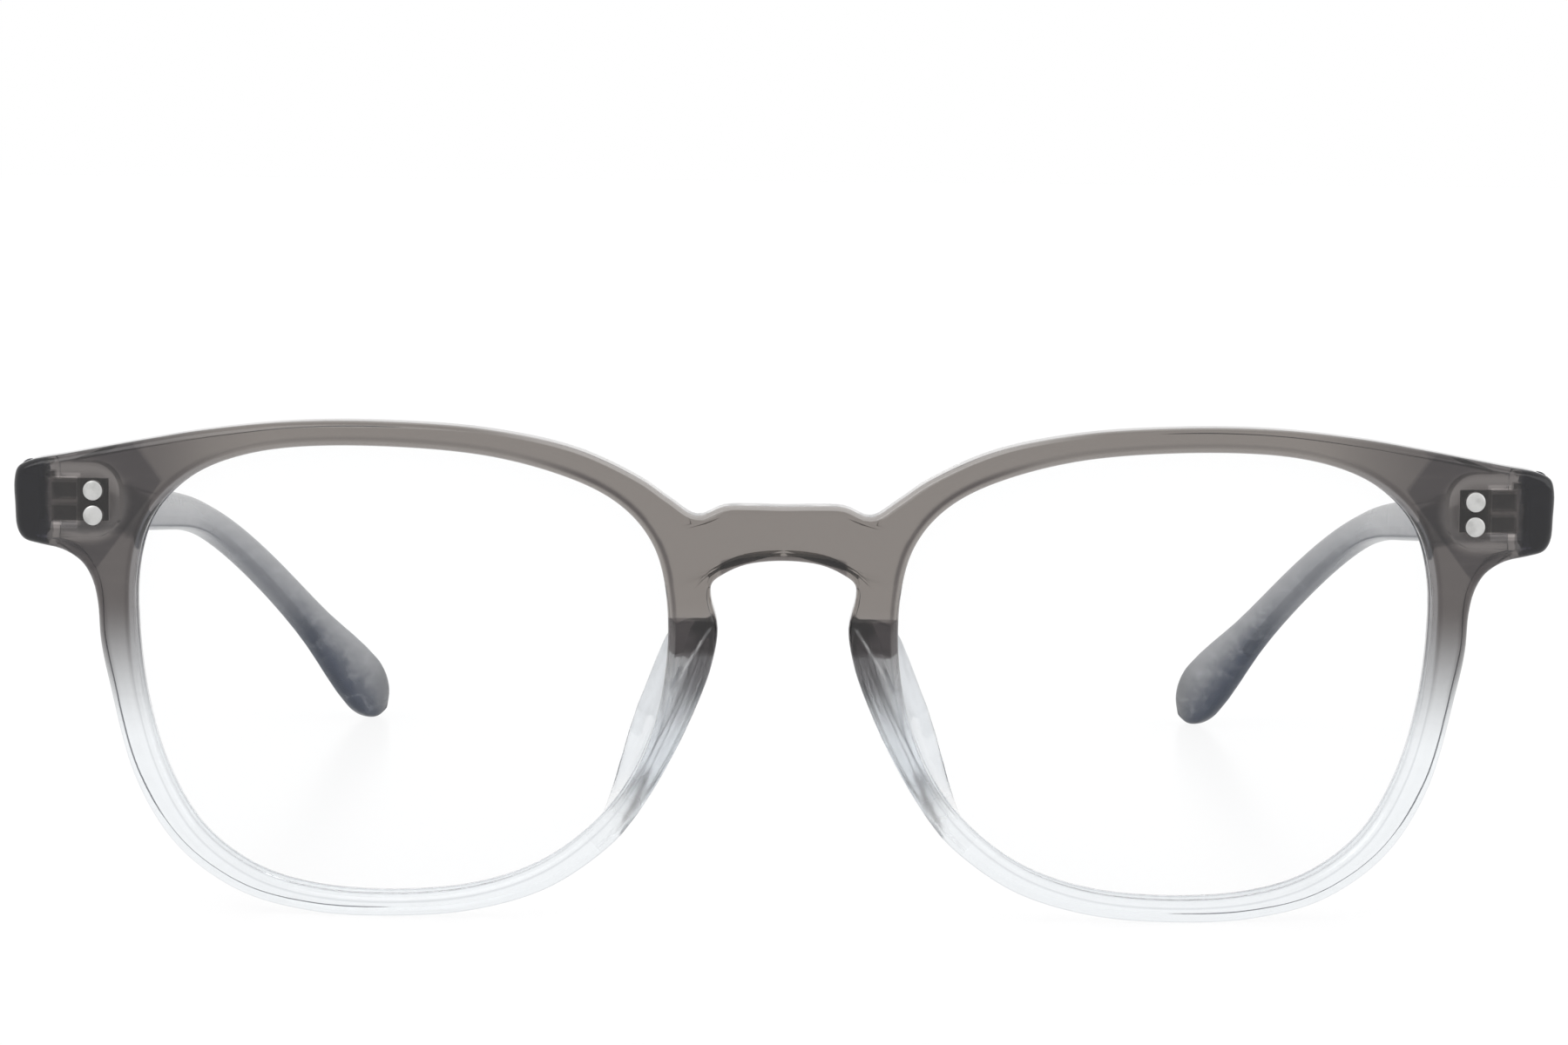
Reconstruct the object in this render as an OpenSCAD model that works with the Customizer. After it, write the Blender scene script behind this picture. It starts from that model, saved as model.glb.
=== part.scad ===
// Rectangular acetate eyeglasses with a keyhole bridge, riveted three-barrel hinges and wired temples.
// Millimetres, +Z up. The glasses stand on the lower rims and on both temple tips, facing -Y.
// The wearer's left is on +X. Every left-hand piece is drawn once and mirrored for the right.

/* [Lenses] */
// Width of a lens, measured to the bottom of its groove
lens_w = 50.1; // [46:0.1:56]
// Height of a lens, measured to the bottom of its groove
lens_h = 42.3; // [36:0.1:46]
// Thickness of a lens
lens_t = 1.5; // [1.2:0.1:1.8]
// Radius of the lens curve
lens_curve_r = 180; // [140:5:400]
// Depth of the groove that holds the lens
groove_d = 0.55; // [0.4:0.05:0.7]
// Distance of the middle of a lens behind the face of the front
lens_set = 0.76; // [0.7:0.02:1.2]

/* [Front] */
// Distance between the two lenses, across the nose
bridge_w = 20; // [16:0.2:24]
// Depth of the bridge's top edge below the top of the lenses
bridge_drop = 5.55; // [4:0.05:7]
// Height of acetate over the nose arch
bridge_h = 5; // [4:0.25:6]
// Width of the keyhole arch over the nose
arch_w = 13.4; // [12:0.1:15]
// Thickness of the acetate sheet that the front is cut from
front_t = 4; // [3.6:0.1:4.6]
// Radius of the curve of the front, seen from above
face_curve_r = 380; // [300:10:600]
// Chamfer along the edges of the front
edge_c = 0.5; // [0.3:0.05:0.6]
// Width of the rim above the lens
rim_top_w = 2.3; // [2:0.1:3]
// Width of the rim beside the temple
rim_side_w = 3.05; // [2.6:0.05:3.6]
// Width of the rim under the lens
rim_bottom_w = 2.1; // [1.8:0.1:2.8]
// Width of the rim beside the nose
rim_nose_w = 2.9; // [2.6:0.05:3.4]

/* [Endpieces] */
// Reach of an endpiece beyond the lens
endpiece_w = 10.95; // [10.5:0.05:13]
// Height of an endpiece at its outer end
endpiece_h = 7.6; // [7.2:0.1:9]
// Thickness of the acetate at the outer end of an endpiece
endpiece_t = 3.6; // [3.2:0.1:4]
// Length of the boss that holds the hinge
boss_l = 7.35; // [6.8:0.05:8]
// Height of the boss that holds the hinge
boss_h = 7; // [6:0.1:7.4]
// Height of the boss's back face above the seat of the temple
boss_rise = 1.3; // [1:0.1:1.6]

/* [Hinges] */
// Depth of the hinge's middle below the top of the lenses
hinge_drop = 6.2; // [5:0.05:7.5]
// Distance of the hinge axis from the outer end of the front
hinge_inset = 3.25; // [3.1:0.05:3.6]
// Radius of a hinge barrel
barrel_r = 1.25; // [1.1:0.05:1.3]
// Height of the three barrels together
barrel_h = 3.9; // [3.3:0.1:4.5]
// Thickness of a hinge leaf
leaf_t = 1; // [0.8:0.05:1.1]
// Length of the front leaf from the hinge axis
front_leaf_l = 5.5; // [5.3:0.1:5.9]
// Length of the temple leaf from the hinge axis
temple_leaf_l = 10; // [9:0.5:12]
// Diameter of the hinge screw
screw_d = 1.4; // [1.2:0.1:1.5]
// Diameter of the hinge screw's head
screw_head_d = 2; // [1.8:0.1:2.2]
// Height of the hinge screw's head
screw_head_h = 0.55; // [0.4:0.05:0.7]
// Diameter of a rivet's shank
rivet_d = 1.1; // [0.9:0.1:1.2]
// Diameter of a rivet's head
rivet_head_d = 1.85; // [1.6:0.05:2]
// Distance between the two rivets of an endpiece
rivet_pitch = 2.3; // [2.2:0.05:2.6]
// Distance of the front rivets from the hinge axis
front_rivet_x = 4.3; // [4:0.05:4.4]
// Distance of the first temple rivet from the hinge axis
temple_rivet_y = 4.2; // [3.6:0.1:4.6]
// Distance between the two temple rivets
temple_rivet_pitch = 3.6; // [3:0.1:4]

/* [Temples] */
// Length of a temple from the hinge axis to its tip, along its curve
temple_l = 140; // [136:1:150]
// Height of a temple at the hinge
temple_h = 6.9; // [6.4:0.1:7.4]
// Height of a temple at its middle
temple_mid_h = 5; // [4.5:0.1:6]
// Height of a temple at its waist, in the bend
temple_waist_h = 3.45; // [3.2:0.05:4.6]
// Width of the paddle at the end of a temple
paddle_h = 7.35; // [6:0.05:8]
// Thickness of a temple at the hinge
temple_t = 3.6; // [3.4:0.1:4]
// Thickness of a temple at its waist
temple_waist_t = 2.6; // [2.2:0.1:3]
// Thickness of the paddle
paddle_t = 2.2; // [2:0.1:3]
// Distance from the hinge to the start of the ear bend
bend_start = 72.5; // [68:0.5:76]
// Length of the ear bend
bend_l = 60; // [54:1:66]
// Angle of the ear bend
bend_angle = 36.5; // [30:0.1:40]
// Angle at which the temples close in on the head
close_in_angle = 3.1; // [2:0.05:5]
// Angle by which the paddles curl in behind the ears
curl_angle = 31.6; // [26:0.1:34]
// Length of the rounded end of the paddle
tip_round = 5.6; // [4:0.1:7]
// Diameter of the core wire inside a temple
wire_d = 1.1; // [0.9:0.05:1.15]
// Length of paddle that the core wire leaves free
wire_stop = 15; // [12:1:25]

/* [Nose pads] */
// Depth of a nose pad behind the rim
pad_depth = 6; // [4:0.25:7]
// Distance that the back edge of a nose pad flares towards the lens
pad_flare = 2; // [1:0.1:2.5]
// Thickness of a nose pad where it is cemented to the rim
pad_t = 2.2; // [1.8:0.1:2.6]

/* [Fits] */
// Radial clearance of the hinge screw and the rivets in their holes
pin_fit = 0.04; // [0.02:0.01:0.06]
// Gap between pieces that seat on each other
seat_gap = 0.05; // [0.03:0.01:0.08]
// Gap between a barrel and the pocket that it turns in
pocket_fit = 0.1; // [0.08:0.01:0.15]
// Gap between the lens's bevel and its groove
lens_fit = 0.12; // [0.08:0.01:0.15]

/* [Hidden] */
$fn = 48;

smoke = [0.47, 0.45, 0.44];
crystal = [0.86, 0.88, 0.9, 0.55];
temple_grey = [0.5, 0.52, 0.55];
silver = [0.8, 0.8, 0.79];
steel = [0.55, 0.55, 0.54];

// Half the visible opening, and its centre
open_a = lens_w / 2 - groove_d;
open_b = lens_h / 2 - groove_d;
open_x = (bridge_w + lens_w) / 2;
open_z = open_b + rim_bottom_w;
// Heights of the bridge's top edge and of the hinge's middle
lens_top_z = open_z + lens_h / 2;
bridge_z = lens_top_z - bridge_drop;
hinge_z = lens_top_z - hinge_drop;
// Lateral place of the outer end of the front
end_x = bridge_w / 2 + lens_w + endpiece_w;
hinge_x = end_x - hinge_inset;

// Depths behind the middle of the face: seat of the temple, back of the boss, hinge axis
seat_y = sag(end_x) + endpiece_t;
boss_y = seat_y + boss_rise;
axis_y = boss_y + barrel_r - leaf_t / 3;
knuckle_h = barrel_h / 3;

// The temple's outer face stands this far outside the front's end
temple_proud = 0.15;
temple_x = end_x + temple_proud - temple_t / 2;
temple_outer_x = end_x + temple_proud - hinge_x;
// Inner face of the milled end of the temple, outside the hinge axis
mill_x = 1;
// Free space around the barrels
barrel_clear = 0.2;
// The full thickness of the temple starts this far behind the hinge axis
shoulder_y = barrel_r + barrel_clear;
// A cut runs this far past the face that it opens
over = 1;

// Setback of the curved face at a distance x from the bridge's middle
function sag(x) = face_curve_r - sqrt(face_curve_r * face_curve_r - x * x);
function unit(v) = v / norm(v);
function turn_between(u, v) = acos(min(max(unit(u) * unit(v), -1), 1));
function middle_of(points) = [for (c = [0 : 2]) [for (p = points) p[c] / len(points)] * [for (p = points) 1]];
function smooth(t) = let (c = min(max(t, 0), 1)) c * c * (3 - 2 * c);

// Smooth curve from b to c, with the neighbours a and d
function curve(a, b, c, d, t) =
    0.5 * (2 * b + (c - a) * t + (2 * a - 5 * b + 4 * c - d) * t * t + (3 * b - a - 3 * c + d) * t * t * t);
// The same for unevenly spaced points, without overshoot at the close ones
function knot(a, b) = sqrt(norm(b - a));
function blend(a, b, s0, s1, s) = ((s1 - s) * a + (s - s0) * b) / (s1 - s0);
function even_curve(a, b, c, d, t) =
    let (k1 = knot(a, b), k2 = k1 + knot(b, c), k3 = k2 + knot(c, d), s = k1 + t * (k2 - k1))
    let (ab = blend(a, b, 0, k1, s), bc = blend(b, c, k1, k2, s), cd = blend(c, d, k2, k3, s))
    blend(blend(ab, bc, 0, k2, s), blend(bc, cd, k1, k3, s), k1, k2, s);

// The lens opening: half-size fractions from its centre, clockwise from the top, as seen from the front
opening_shape = [[0.05, 1], [0.4, 0.99], [0.645, 0.932], [0.82, 0.825], [0.94, 0.665], [0.995, 0.45],
    [1, 0.185], [0.965, -0.15], [0.888, -0.46], [0.757, -0.722], [0.563, -0.896], [0.328, -0.98],
    [0.036, -0.9985], [-0.267, -0.962], [-0.521, -0.857], [-0.723, -0.68], [-0.863, -0.465], [-0.955, -0.21],
    [-0.998, 0.07], [-0.996, 0.35], [-0.945, 0.58], [-0.821, 0.755], [-0.621, 0.876], [-0.32, 0.966]];
turns = len(opening_shape);
function wrap(i) = ((i % turns) + turns) % turns;
function opening_part(s) =
    let (k = floor(s))
    curve(opening_shape[wrap(k - 1)], opening_shape[wrap(k)], opening_shape[wrap(k + 1)],
        opening_shape[wrap(k + 2)], s - k);
function opening(s) =
    let (p = opening_part(s))
    [open_x + p[0] * open_a, open_z + p[1] * open_b];
// Direction out of the opening, into the rim
function rim_way(s) =
    let (t = opening(s + 0.05) - opening(s - 0.05))
    unit([-t[1], t[0]]);

// Rim widths around the opening, by place on the opening's curve
brow_widths = [[-3.5, 1.55 * rim_top_w], [-3, 1.33 * rim_top_w], [-2, 1.2 * rim_top_w],
    [-1, 1.05 * rim_top_w], [0, rim_top_w], [1, 1.03 * rim_top_w]];
cheek_widths = [[6.2, 1.14 * rim_side_w], [6.7, 1.03 * rim_side_w], [8, rim_side_w],
    [9, 0.93 * rim_side_w], [10, 0.83 * rim_side_w], [11, 1.06 * rim_bottom_w], [12, rim_bottom_w],
    [13, 1.02 * rim_bottom_w], [14, 1.1 * rim_bottom_w], [15, 0.84 * rim_nose_w],
    [15.5, 0.82 * rim_nose_w], [16, 0.815 * rim_nose_w], [16.5, 0.87 * rim_nose_w], [17, rim_nose_w],
    [17.6, 1.25 * rim_nose_w], [18, 1.43 * rim_nose_w], [18.5, 1.56 * rim_nose_w]];
function rim_edge(row) = [row[0], opening(row[0]) + row[1] * rim_way(row[0])];

// Outer edge of the bridge, the endpiece and the nose arch: place on the opening's curve, then the point
arch_x = arch_w / 2;
arch_z = bridge_z - bridge_h;
bridge_edge = [[-4.3, [0, bridge_z]], [-4.15, [0.22 * arch_w, bridge_z + 0.05]],
    [-4, [0.41 * arch_w, bridge_z - 0.05]], [-3.8, [0.59 * arch_w, bridge_z - 0.93]]];
// Each row of the endpiece: place, then shares of its reach and of its height, from its end at the hinge
end_shape = [[2, -1.639, 0.908], [2.5, -1.219, 0.803], [3, -0.813, 0.69], [3.3, -0.425, 0.58],
    [3.6, -0.142, 0.5], [3.8, -0.032, 0.414], [4, 0, 0.26], [4.2, -0.005, -0.04], [4.4, -0.023, -0.33],
    [4.6, -0.082, -0.46], [4.8, -0.224, -0.52], [5, -0.416, -0.58], [5.25, -0.58, -0.724],
    [5.5, -0.671, -0.934], [5.8, -0.717, -1.21]];
end_edge = [for (e = end_shape) [e[0], [end_x + e[1] * endpiece_w, hinge_z + e[2] * endpiece_h]]];
arch_edge = [[18.68, [0.985 * arch_x, arch_z - 0.66 * bridge_h]],
    [18.8, [0.97 * arch_x, arch_z - 0.42 * bridge_h]], [18.95, [0.8 * arch_x, arch_z - 0.24 * bridge_h]],
    [19.1, [0.5 * arch_x, arch_z - 0.07 * bridge_h]], [19.25, [0, arch_z]]];
edge_rows = concat(bridge_edge, [for (r = brow_widths) rim_edge(r)], end_edge,
    [for (r = cheek_widths) rim_edge(r)], arch_edge);

// Stations round the rim: place on the opening's curve and point on the outer edge.
// They lie closer together where the edge turns.
station_gap = 2.8;
station_turn = 16;
function flip(p) = [-p[0], p[1]];
function row_point(i) =
    i < 0 ? flip(edge_rows[1][1])
    : i >= len(edge_rows) ? flip(edge_rows[len(edge_rows) - 2][1])
    : edge_rows[i][1];
function row_turn(i) =
    turn_between(row_point(i) - row_point(i - 1), row_point(i + 2) - row_point(i + 1)) / 2;
edge_stations = [
    for (i = [0 : len(edge_rows) - 2])
        let (gap = norm(row_point(i + 1) - row_point(i)))
        let (steps = ceil(max(gap / station_gap, row_turn(i) / station_turn)))
        for (k = [0 : steps - 1])
            let (f = k / steps)
            [edge_rows[i][0] + f * (edge_rows[i + 1][0] - edge_rows[i][0]),
                even_curve(row_point(i - 1), row_point(i), row_point(i + 1), row_point(i + 2), f)]];
// The stations on the bridge's middle plane, from the arch back up to the top
arch_station = len(edge_stations);
middle_steps = 3;
middle_stations = [
    for (k = [0 : middle_steps - 1])
        let (f = k / middle_steps, s0 = edge_rows[len(edge_rows) - 1][0], s1 = turns + edge_rows[0][0])
        [s0 + f * (s1 - s0), [0, arch_z + f * bridge_h]]];
stations = concat(edge_stations, middle_stations);
station_count = len(stations);
function station(i) = stations[(i + station_count) % station_count];
function on_middle(i) = i % station_count == 0 || i >= arch_station;

// Direction from the outer edge into the rim
function edge_way(i) =
    i == 0 ? [0, -1]
    : i == arch_station ? [0, 1]
    : i > arch_station ? [0, 0]
    : let (t = station(i + 1)[1] - station(i - 1)[1]) unit([t[1], -t[0]]);

// Depth of the lens and its groove behind the face, which follows the lens curve
function lens_depth(p) =
    lens_set + pow(p[0] - open_x, 2) * (1 / lens_curve_r - 1 / face_curve_r) / 2
    + pow(p[1] - open_z, 2) / lens_curve_r / 2;
groove_half_w = lens_t / 2 + seat_gap;
function on_face(p, depth) = [p[0], sag(p[0]) + depth, p[1]];

// Cross-section of the rim at one station, from the front's inner edge round to its front middle
function rim_section(i) =
    let (p = opening(station(i)[0]), q = station(i)[1], out = rim_way(station(i)[0]), in = edge_way(i))
    let (pc = p + edge_c * out, qc = q + edge_c * in, pg = p + groove_d * out, d = lens_depth(p))
    [on_face(pc, 0), on_face(p, edge_c), on_face(p, d - groove_half_w), on_face(pg, lens_depth(pg)),
        on_face(p, d + groove_half_w), on_face(p, front_t - edge_c), on_face(pc, front_t),
        on_face((pc + qc) / 2, front_t), on_face(qc, front_t), on_face(q, front_t - edge_c),
        on_face(q, edge_c), on_face(qc, 0), on_face((pc + qc) / 2, 0)];
section_size = 13;
edge_first = 8;
edge_last = 11;

// Both halves of the front as one closed surface that shares the bridge's middle plane
module acetate_sheet() {
    half = [for (i = [0 : station_count - 1]) each rim_section(i)];
    all_points = concat(half, [for (p = half) [-p[0], p[1], p[2]]]);
    function shared(i, j) = on_middle(i) && j >= edge_first && j <= edge_last;
    function id(side, i, j) =
        let (a = i % station_count, b = j % section_size)
        (side == 1 && !shared(a, b) ? len(half) : 0) + a * section_size + b;
    function quad(a, b, c, d) = [[a, b, c], [a, c, d]];
    faces = [
        for (i = [0 : station_count - 1])
            for (j = [0 : section_size - 1])
                if (!(shared(i, j) && shared(i + 1, j) && j < edge_last))
                    each concat(quad(id(0, i, j), id(0, i + 1, j), id(0, i + 1, j + 1), id(0, i, j + 1)),
                        quad(id(1, i, j), id(1, i, j + 1), id(1, i + 1, j + 1), id(1, i + 1, j)))];
    polyhedron(all_points, faces);
}

// Everything is drawn behind the middle of the face and then set over the origin
module placed() {
    translate([0, -origin_y, 0])
        children();
}
module left() {
    placed()
        children();
}
module right() {
    placed()
        mirror([1, 0, 0])
            children();
}
module both_sides() {
    children();
    mirror([1, 0, 0])
        children();
}
// Frame of the left hinge: its axis is Z, and Y points back
module at_hinge() {
    translate([hinge_x, axis_y, hinge_z])
        children();
}

// D-shaped boss on the back of the endpiece
boss_end_x = 0.75;
boss_round = 2.6;
module boss() {
    front_y = front_t / 2 + sag(hinge_x - boss_l) - axis_y;
    at_hinge()
        translate([boss_end_x, 0, 0])
            rotate([90, 0, 0])
                translate([0, 0, axis_y - boss_y])
                    linear_extrude(-front_y - (axis_y - boss_y))
                        union() {
                            translate([boss_round - boss_l, -boss_h / 2])
                                square([boss_l - boss_round, boss_h]);
                            translate([-boss_l, boss_round - boss_h / 2])
                                square([boss_l, boss_h - 2 * boss_round]);
                            for (z = [-1, 1])
                                translate([boss_round - boss_l, z * (boss_h / 2 - boss_round)])
                                    circle(boss_round);
                        }
}

// Outline of the front leaf with its barrel, seen from above
leaf_y = boss_y - leaf_t - axis_y;
// Its neck reaches past the barrel, and ends in front of the axis
neck_l = barrel_r + 0.45;
neck_drop = 0.5;
module front_leaf_outline(grow = 0) {
    translate([-front_leaf_l - grow, leaf_y - grow])
        square([front_leaf_l + grow, leaf_t + grow]);
    translate([-neck_l - grow, leaf_y - grow])
        square([neck_l + grow, -leaf_y - neck_drop + grow]);
    circle(barrel_r + grow);
}
// The two bores of the rivets of one endpiece, along Y
module front_rivet_bores(radius, length, y) {
    for (z = [-1, 1])
        translate([-front_rivet_x, y, z * rivet_pitch / 2])
            rotate([-90, 0, 0])
                cylinder(r = radius, h = length);
}
// Face of the front at the rivets, seen from the hinge axis
rivet_face_y = sag(hinge_x - front_rivet_x) - axis_y;
rivet_head_t = 0.7;
rivet_dome = 0.3;
module endpiece_cuts() {
    at_hinge() {
        // pocket for the front leaf and the barrels, open to the back
        translate([0, 0, -barrel_h / 2 - pocket_fit])
            linear_extrude(barrel_h + 2 * pocket_fit)
                front_leaf_outline(pocket_fit / 2);
        translate([0, 0, -boss_h])
            cylinder(r = barrel_r + pocket_fit, h = 2 * boss_h);
        front_rivet_bores(rivet_d / 2 + pin_fit, -rivet_face_y + leaf_y, rivet_face_y);
        front_rivet_bores(rivet_head_d / 2 + pin_fit, rivet_head_t + over, rivet_face_y - over);
        // flat seat for the end of the temple
        translate([boss_end_x, seat_y - axis_y, -2 * endpiece_h])
            cube([hinge_inset + endpiece_w, front_t + boss_rise, 4 * endpiece_h]);
    }
}

module front() {
    color(smoke)
        placed()
            difference() {
                union() {
                    acetate_sheet();
                    both_sides()
                        boss();
                }
                both_sides()
                    endpiece_cuts();
            }
}

// A lens: rings of points from the middle to the bevel and back
module lens() {
    lens_stations = 72;
    shares = [0.02, 0.5, 1];
    function ring(share, depth, grow) = [
        for (k = [0 : lens_stations - 1])
            let (s = k * turns / lens_stations, p = opening(s) + grow * rim_way(s))
            let (q = [open_x, open_z] + share * (p - [open_x, open_z]))
            on_face(q, lens_depth(q) + depth)];
    rings = concat(
        [for (s = shares) ring(s, -lens_t / 2, -lens_fit)],
        [ring(1, 0, groove_d - lens_fit)],
        [for (i = [len(shares) - 1 : -1 : 0]) ring(shares[i], lens_t / 2, -lens_fit)]);
    color(crystal)
        solid_of_rings(rings);
}

// Closed solid through rings that have the same number of points
module solid_of_rings(rings) {
    n = len(rings[0]);
    last = len(rings) - 1;
    sides = [
        for (i = [0 : last - 1])
            for (k = [0 : n - 1])
                let (a = i * n + k, b = i * n + (k + 1) % n)
                each [[a, b, b + n], [a, b + n, a + n]]];
    centres = [middle_of(rings[0]), middle_of(rings[last])];
    ends = [
        for (k = [0 : n - 1])
            let (b = (k + 1) % n)
            each [[b, k, (last + 1) * n], [last * n + k, last * n + b, (last + 1) * n + 1]]];
    polyhedron(concat([for (r = rings) each r], centres), concat(sides, ends));
}

// Nose pad: a fin cemented to the back of the rim beside the nose, flaring towards the lens
pad_from = 14.8;
pad_to = 18.6;
pad_rings = 16;
// The pad grows from its lower end to this share of its length, and ends round at the top
pad_peak = 0.75;
least_swell = 0.07;
function pad_swell(f) =
    f < pad_peak ? sin(90 * f / pad_peak)
    : sqrt(1 - pow((f - pad_peak) / (1 - pad_peak), 3));
function pad_ring(f) =
    let (s = pad_from + f * (pad_to - pad_from), swell = max(pad_swell(f), least_swell))
    let (inward = -rim_way(s), edge = rim_edge([s, lookup(s, cheek_widths)])[1])
    let (base = edge_c + seat_gap, top = base + pad_t * (0.35 + 0.65 * swell), d = pad_depth * swell)
    let (reach = (rim_nose_w + pad_flare) * (0.3 + 0.7 * swell))
    [for (p = [[base, 0], [(base + top) / 2, 0], [top, 0], [top + 0.45 * (reach - top), 0.42 * d],
                [reach - 0.1, 0.82 * d], [reach + 0.1, 0.95 * d], [reach - 0.35, d], [reach - 0.9, 0.93 * d],
                [base + 0.5 * (reach - 1.2 - base), 0.6 * d], [base + 0.15 * (reach - base), 0.27 * d]])
        on_face(edge + p[0] * inward, front_t + seat_gap + p[1])];
module nose_pad() {
    color(smoke)
        solid_of_rings([for (k = [0 : pad_rings]) pad_ring(sin(90 * k / pad_rings))]);
}

module front_hinge() {
    color(steel)
        at_hinge()
            difference() {
                translate([0, 0, -barrel_h / 2])
                    linear_extrude(barrel_h)
                        front_leaf_outline();
                cylinder(r = barrel_r + pocket_fit, h = knuckle_h, center = true);
                cylinder(d = screw_d + 2 * pin_fit, h = 2 * barrel_h, center = true);
                front_rivet_bores(rivet_d / 2 + pin_fit, 2 * leaf_t, leaf_y - leaf_t / 2);
            }
}

// Rivet along Y: low dome sunk in the face, shank, and a peened end behind the leaf
module rivet(length) {
    peened_r = 0.45 * rivet_head_d;
    peened_y = length + seat_gap;
    color(silver)
        rotate([-90, 0, 0])
            rotate_extrude()
                polygon(concat(
                    [for (a = [0 : 15 : 90]) [rivet_head_d / 2 * sin(a), -rivet_dome / 2 * cos(a)]],
                    [[rivet_head_d / 2, rivet_head_t], [rivet_d / 2, rivet_head_t], [rivet_d / 2, peened_y]],
                    [for (a = [0 : 15 : 90]) [peened_r * cos(a), peened_y + rivet_dome * sin(a)]]));
}
module front_rivet(z) {
    at_hinge()
        translate([-front_rivet_x, rivet_face_y, z * rivet_pitch / 2])
            rivet(leaf_y + leaf_t - rivet_face_y);
}

// Slotted screw through the three barrels
module hinge_screw() {
    top = barrel_h / 2 + seat_gap;
    slot_w = 0.35;
    color(silver)
        at_hinge()
            difference() {
                union() {
                    translate([0, 0, -barrel_h / 2 - seat_gap])
                        cylinder(d = screw_d, h = barrel_h + 2 * seat_gap);
                    translate([0, 0, top])
                        cylinder(d1 = screw_head_d, d2 = 0.85 * screw_head_d, h = screw_head_h);
                }
                translate([-screw_head_d, -slot_w / 2, top + screw_head_h / 2])
                    cube([2 * screw_head_d, slot_w, screw_head_h]);
            }
}

// Path of the temple before it leans: y back, x out, z up, from the hinge axis
straight_l = 16;
close_in_l = 35;
function bend_at(s) = bend_angle * smooth((s - bend_start) / bend_l);
function side_at(s) =
    -close_in_angle * smooth((s - straight_l) / close_in_l)
    - curl_angle * smooth((s - bend_start) / (temple_l - bend_start));
function way_at(s) =
    let (side = side_at(s), bend = bend_at(s))
    [sin(side) * cos(bend), cos(side) * cos(bend), -sin(bend)];
function across_at(s) = [cos(side_at(s)), -sin(side_at(s)), 0];
butt_l = axis_y - seat_y - seat_gap;
round_steps = 5;
body_steps = 34;
temple_stops = concat(
    [for (k = [0 : body_steps - 1]) -butt_l + k * (temple_l - tip_round + butt_l) / body_steps],
    [for (k = [0 : round_steps]) temple_l - tip_round * (1 - sin(88 * k / round_steps))]);
function path_step(i) =
    let (s0 = temple_stops[i - 1], s1 = temple_stops[i])
    (s1 - s0) * way_at((s0 + s1) / 2);
temple_path = [
    for (i = 0, p = [0, -butt_l, 0]; i < len(temple_stops);
        i = i + 1, p = i < len(temple_stops) ? p + path_step(i) : p)
        p];
mid_s = 0.36 * temple_l;
waist_s = 0.64 * temple_l;
paddle_s = 0.943 * temple_l;
heights = [[0, temple_h], [mid_s, temple_mid_h], [0.54 * temple_l, 1.16 * temple_waist_h],
    [waist_s, temple_waist_h], [0.74 * temple_l, 1.12 * temple_waist_h],
    [0.84 * temple_l, 1.24 * temple_waist_h], [0.885 * temple_l, 1.41 * temple_waist_h],
    [paddle_s, paddle_h]];
widths = [[straight_l, temple_t], [waist_s, temple_waist_t], [paddle_s, paddle_t]];
ease_l = 3;
function eased(s, rows) = (lookup(s - ease_l, rows) + 2 * lookup(s, rows) + lookup(s + ease_l, rows)) / 4;
function cap_at(s) = sqrt(max(1 - pow(max((s - temple_l) / tip_round + 1, 0), 2), 0.0009));
function height_at(s) = eased(s, heights) * cap_at(s);
function width_at(s) = eased(s, widths) * max(cap_at(s), 0.3);

// Rounded rectangle of 16 points, across and up
corner_steps = 3;
function rounded(w, h) =
    let (r = 0.36 * min(w, h))
    [for (c = [[1, 1, 0], [-1, 1, 90], [-1, -1, 180], [1, -1, 270]])
        for (k = [0 : corner_steps])
            let (a = c[2] + 90 * k / corner_steps)
            [c[0] * (w / 2 - r) + r * cos(a), c[1] * (h / 2 - r) + r * sin(a)]];
function level_ring(i, shape, drop = 0, out = 0) =
    let (s = temple_stops[i], across = across_at(s), up = cross(across, way_at(s)))
    [for (p = shape) temple_path[i] + (p[0] + out) * across + (p[1] - drop) * up];

// Lean of the temple that sets its tip on the surface the rims stand on
function leaned(p, a) = [p[0], p[1] * cos(a) + p[2] * sin(a), p[2] * cos(a) - p[1] * sin(a)];
level_rings = [
    for (i = [0 : len(temple_stops) - 1])
        level_ring(i, rounded(width_at(temple_stops[i]), height_at(temple_stops[i])))];
function lowest(a) = hinge_z + min([for (ring = level_rings) for (p = ring) leaned(p, a)[2]]);
function settle(a, n) = n == 0 ? a : settle(a + 50 * lowest(a) / temple_l, n - 1);
lean = settle(7, 9);

// Square end of the temple: its first ring is moved along the temple onto the seat
function squared(p, i) =
    i > 0 ? p
    : let (way = leaned(way_at(0), lean)) p + (-butt_l - p[1]) / way[1] * way;
function set_ring(ring, i) = [for (p = ring) squared(leaned(p, lean), i) + [temple_x, axis_y, hinge_z]];
temple_rings = [for (i = [0 : len(level_rings) - 1]) set_ring(level_rings[i], i)];

// Half the depth of the glasses, which puts the origin under the middle of their box
origin_y = max([for (ring = temple_rings) for (p = ring) p[1]]) / 2;

// Core wire: runs low in the temple, and clears the rivets at the hinge
wire_points = 8;
wire_out = 0.5;
function wire_drop(s) = 0.27 * height_at(s);
wire_swing_l = 60;
function wire_circle(d) =
    [for (k = [0 : wire_points - 1]) let (a = 45 + 360 * k / wire_points) d / 2 * [cos(a), sin(a)]];
function wire_ring(i, d) =
    let (s = temple_stops[i], out = wire_out * (1 - smooth(s / wire_swing_l)))
    set_ring(level_ring(i, wire_circle(d), wire_drop(s), out), i);
wire_last = len([for (s = temple_stops) if (s < temple_l - wire_stop) s]) - 1;

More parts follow.
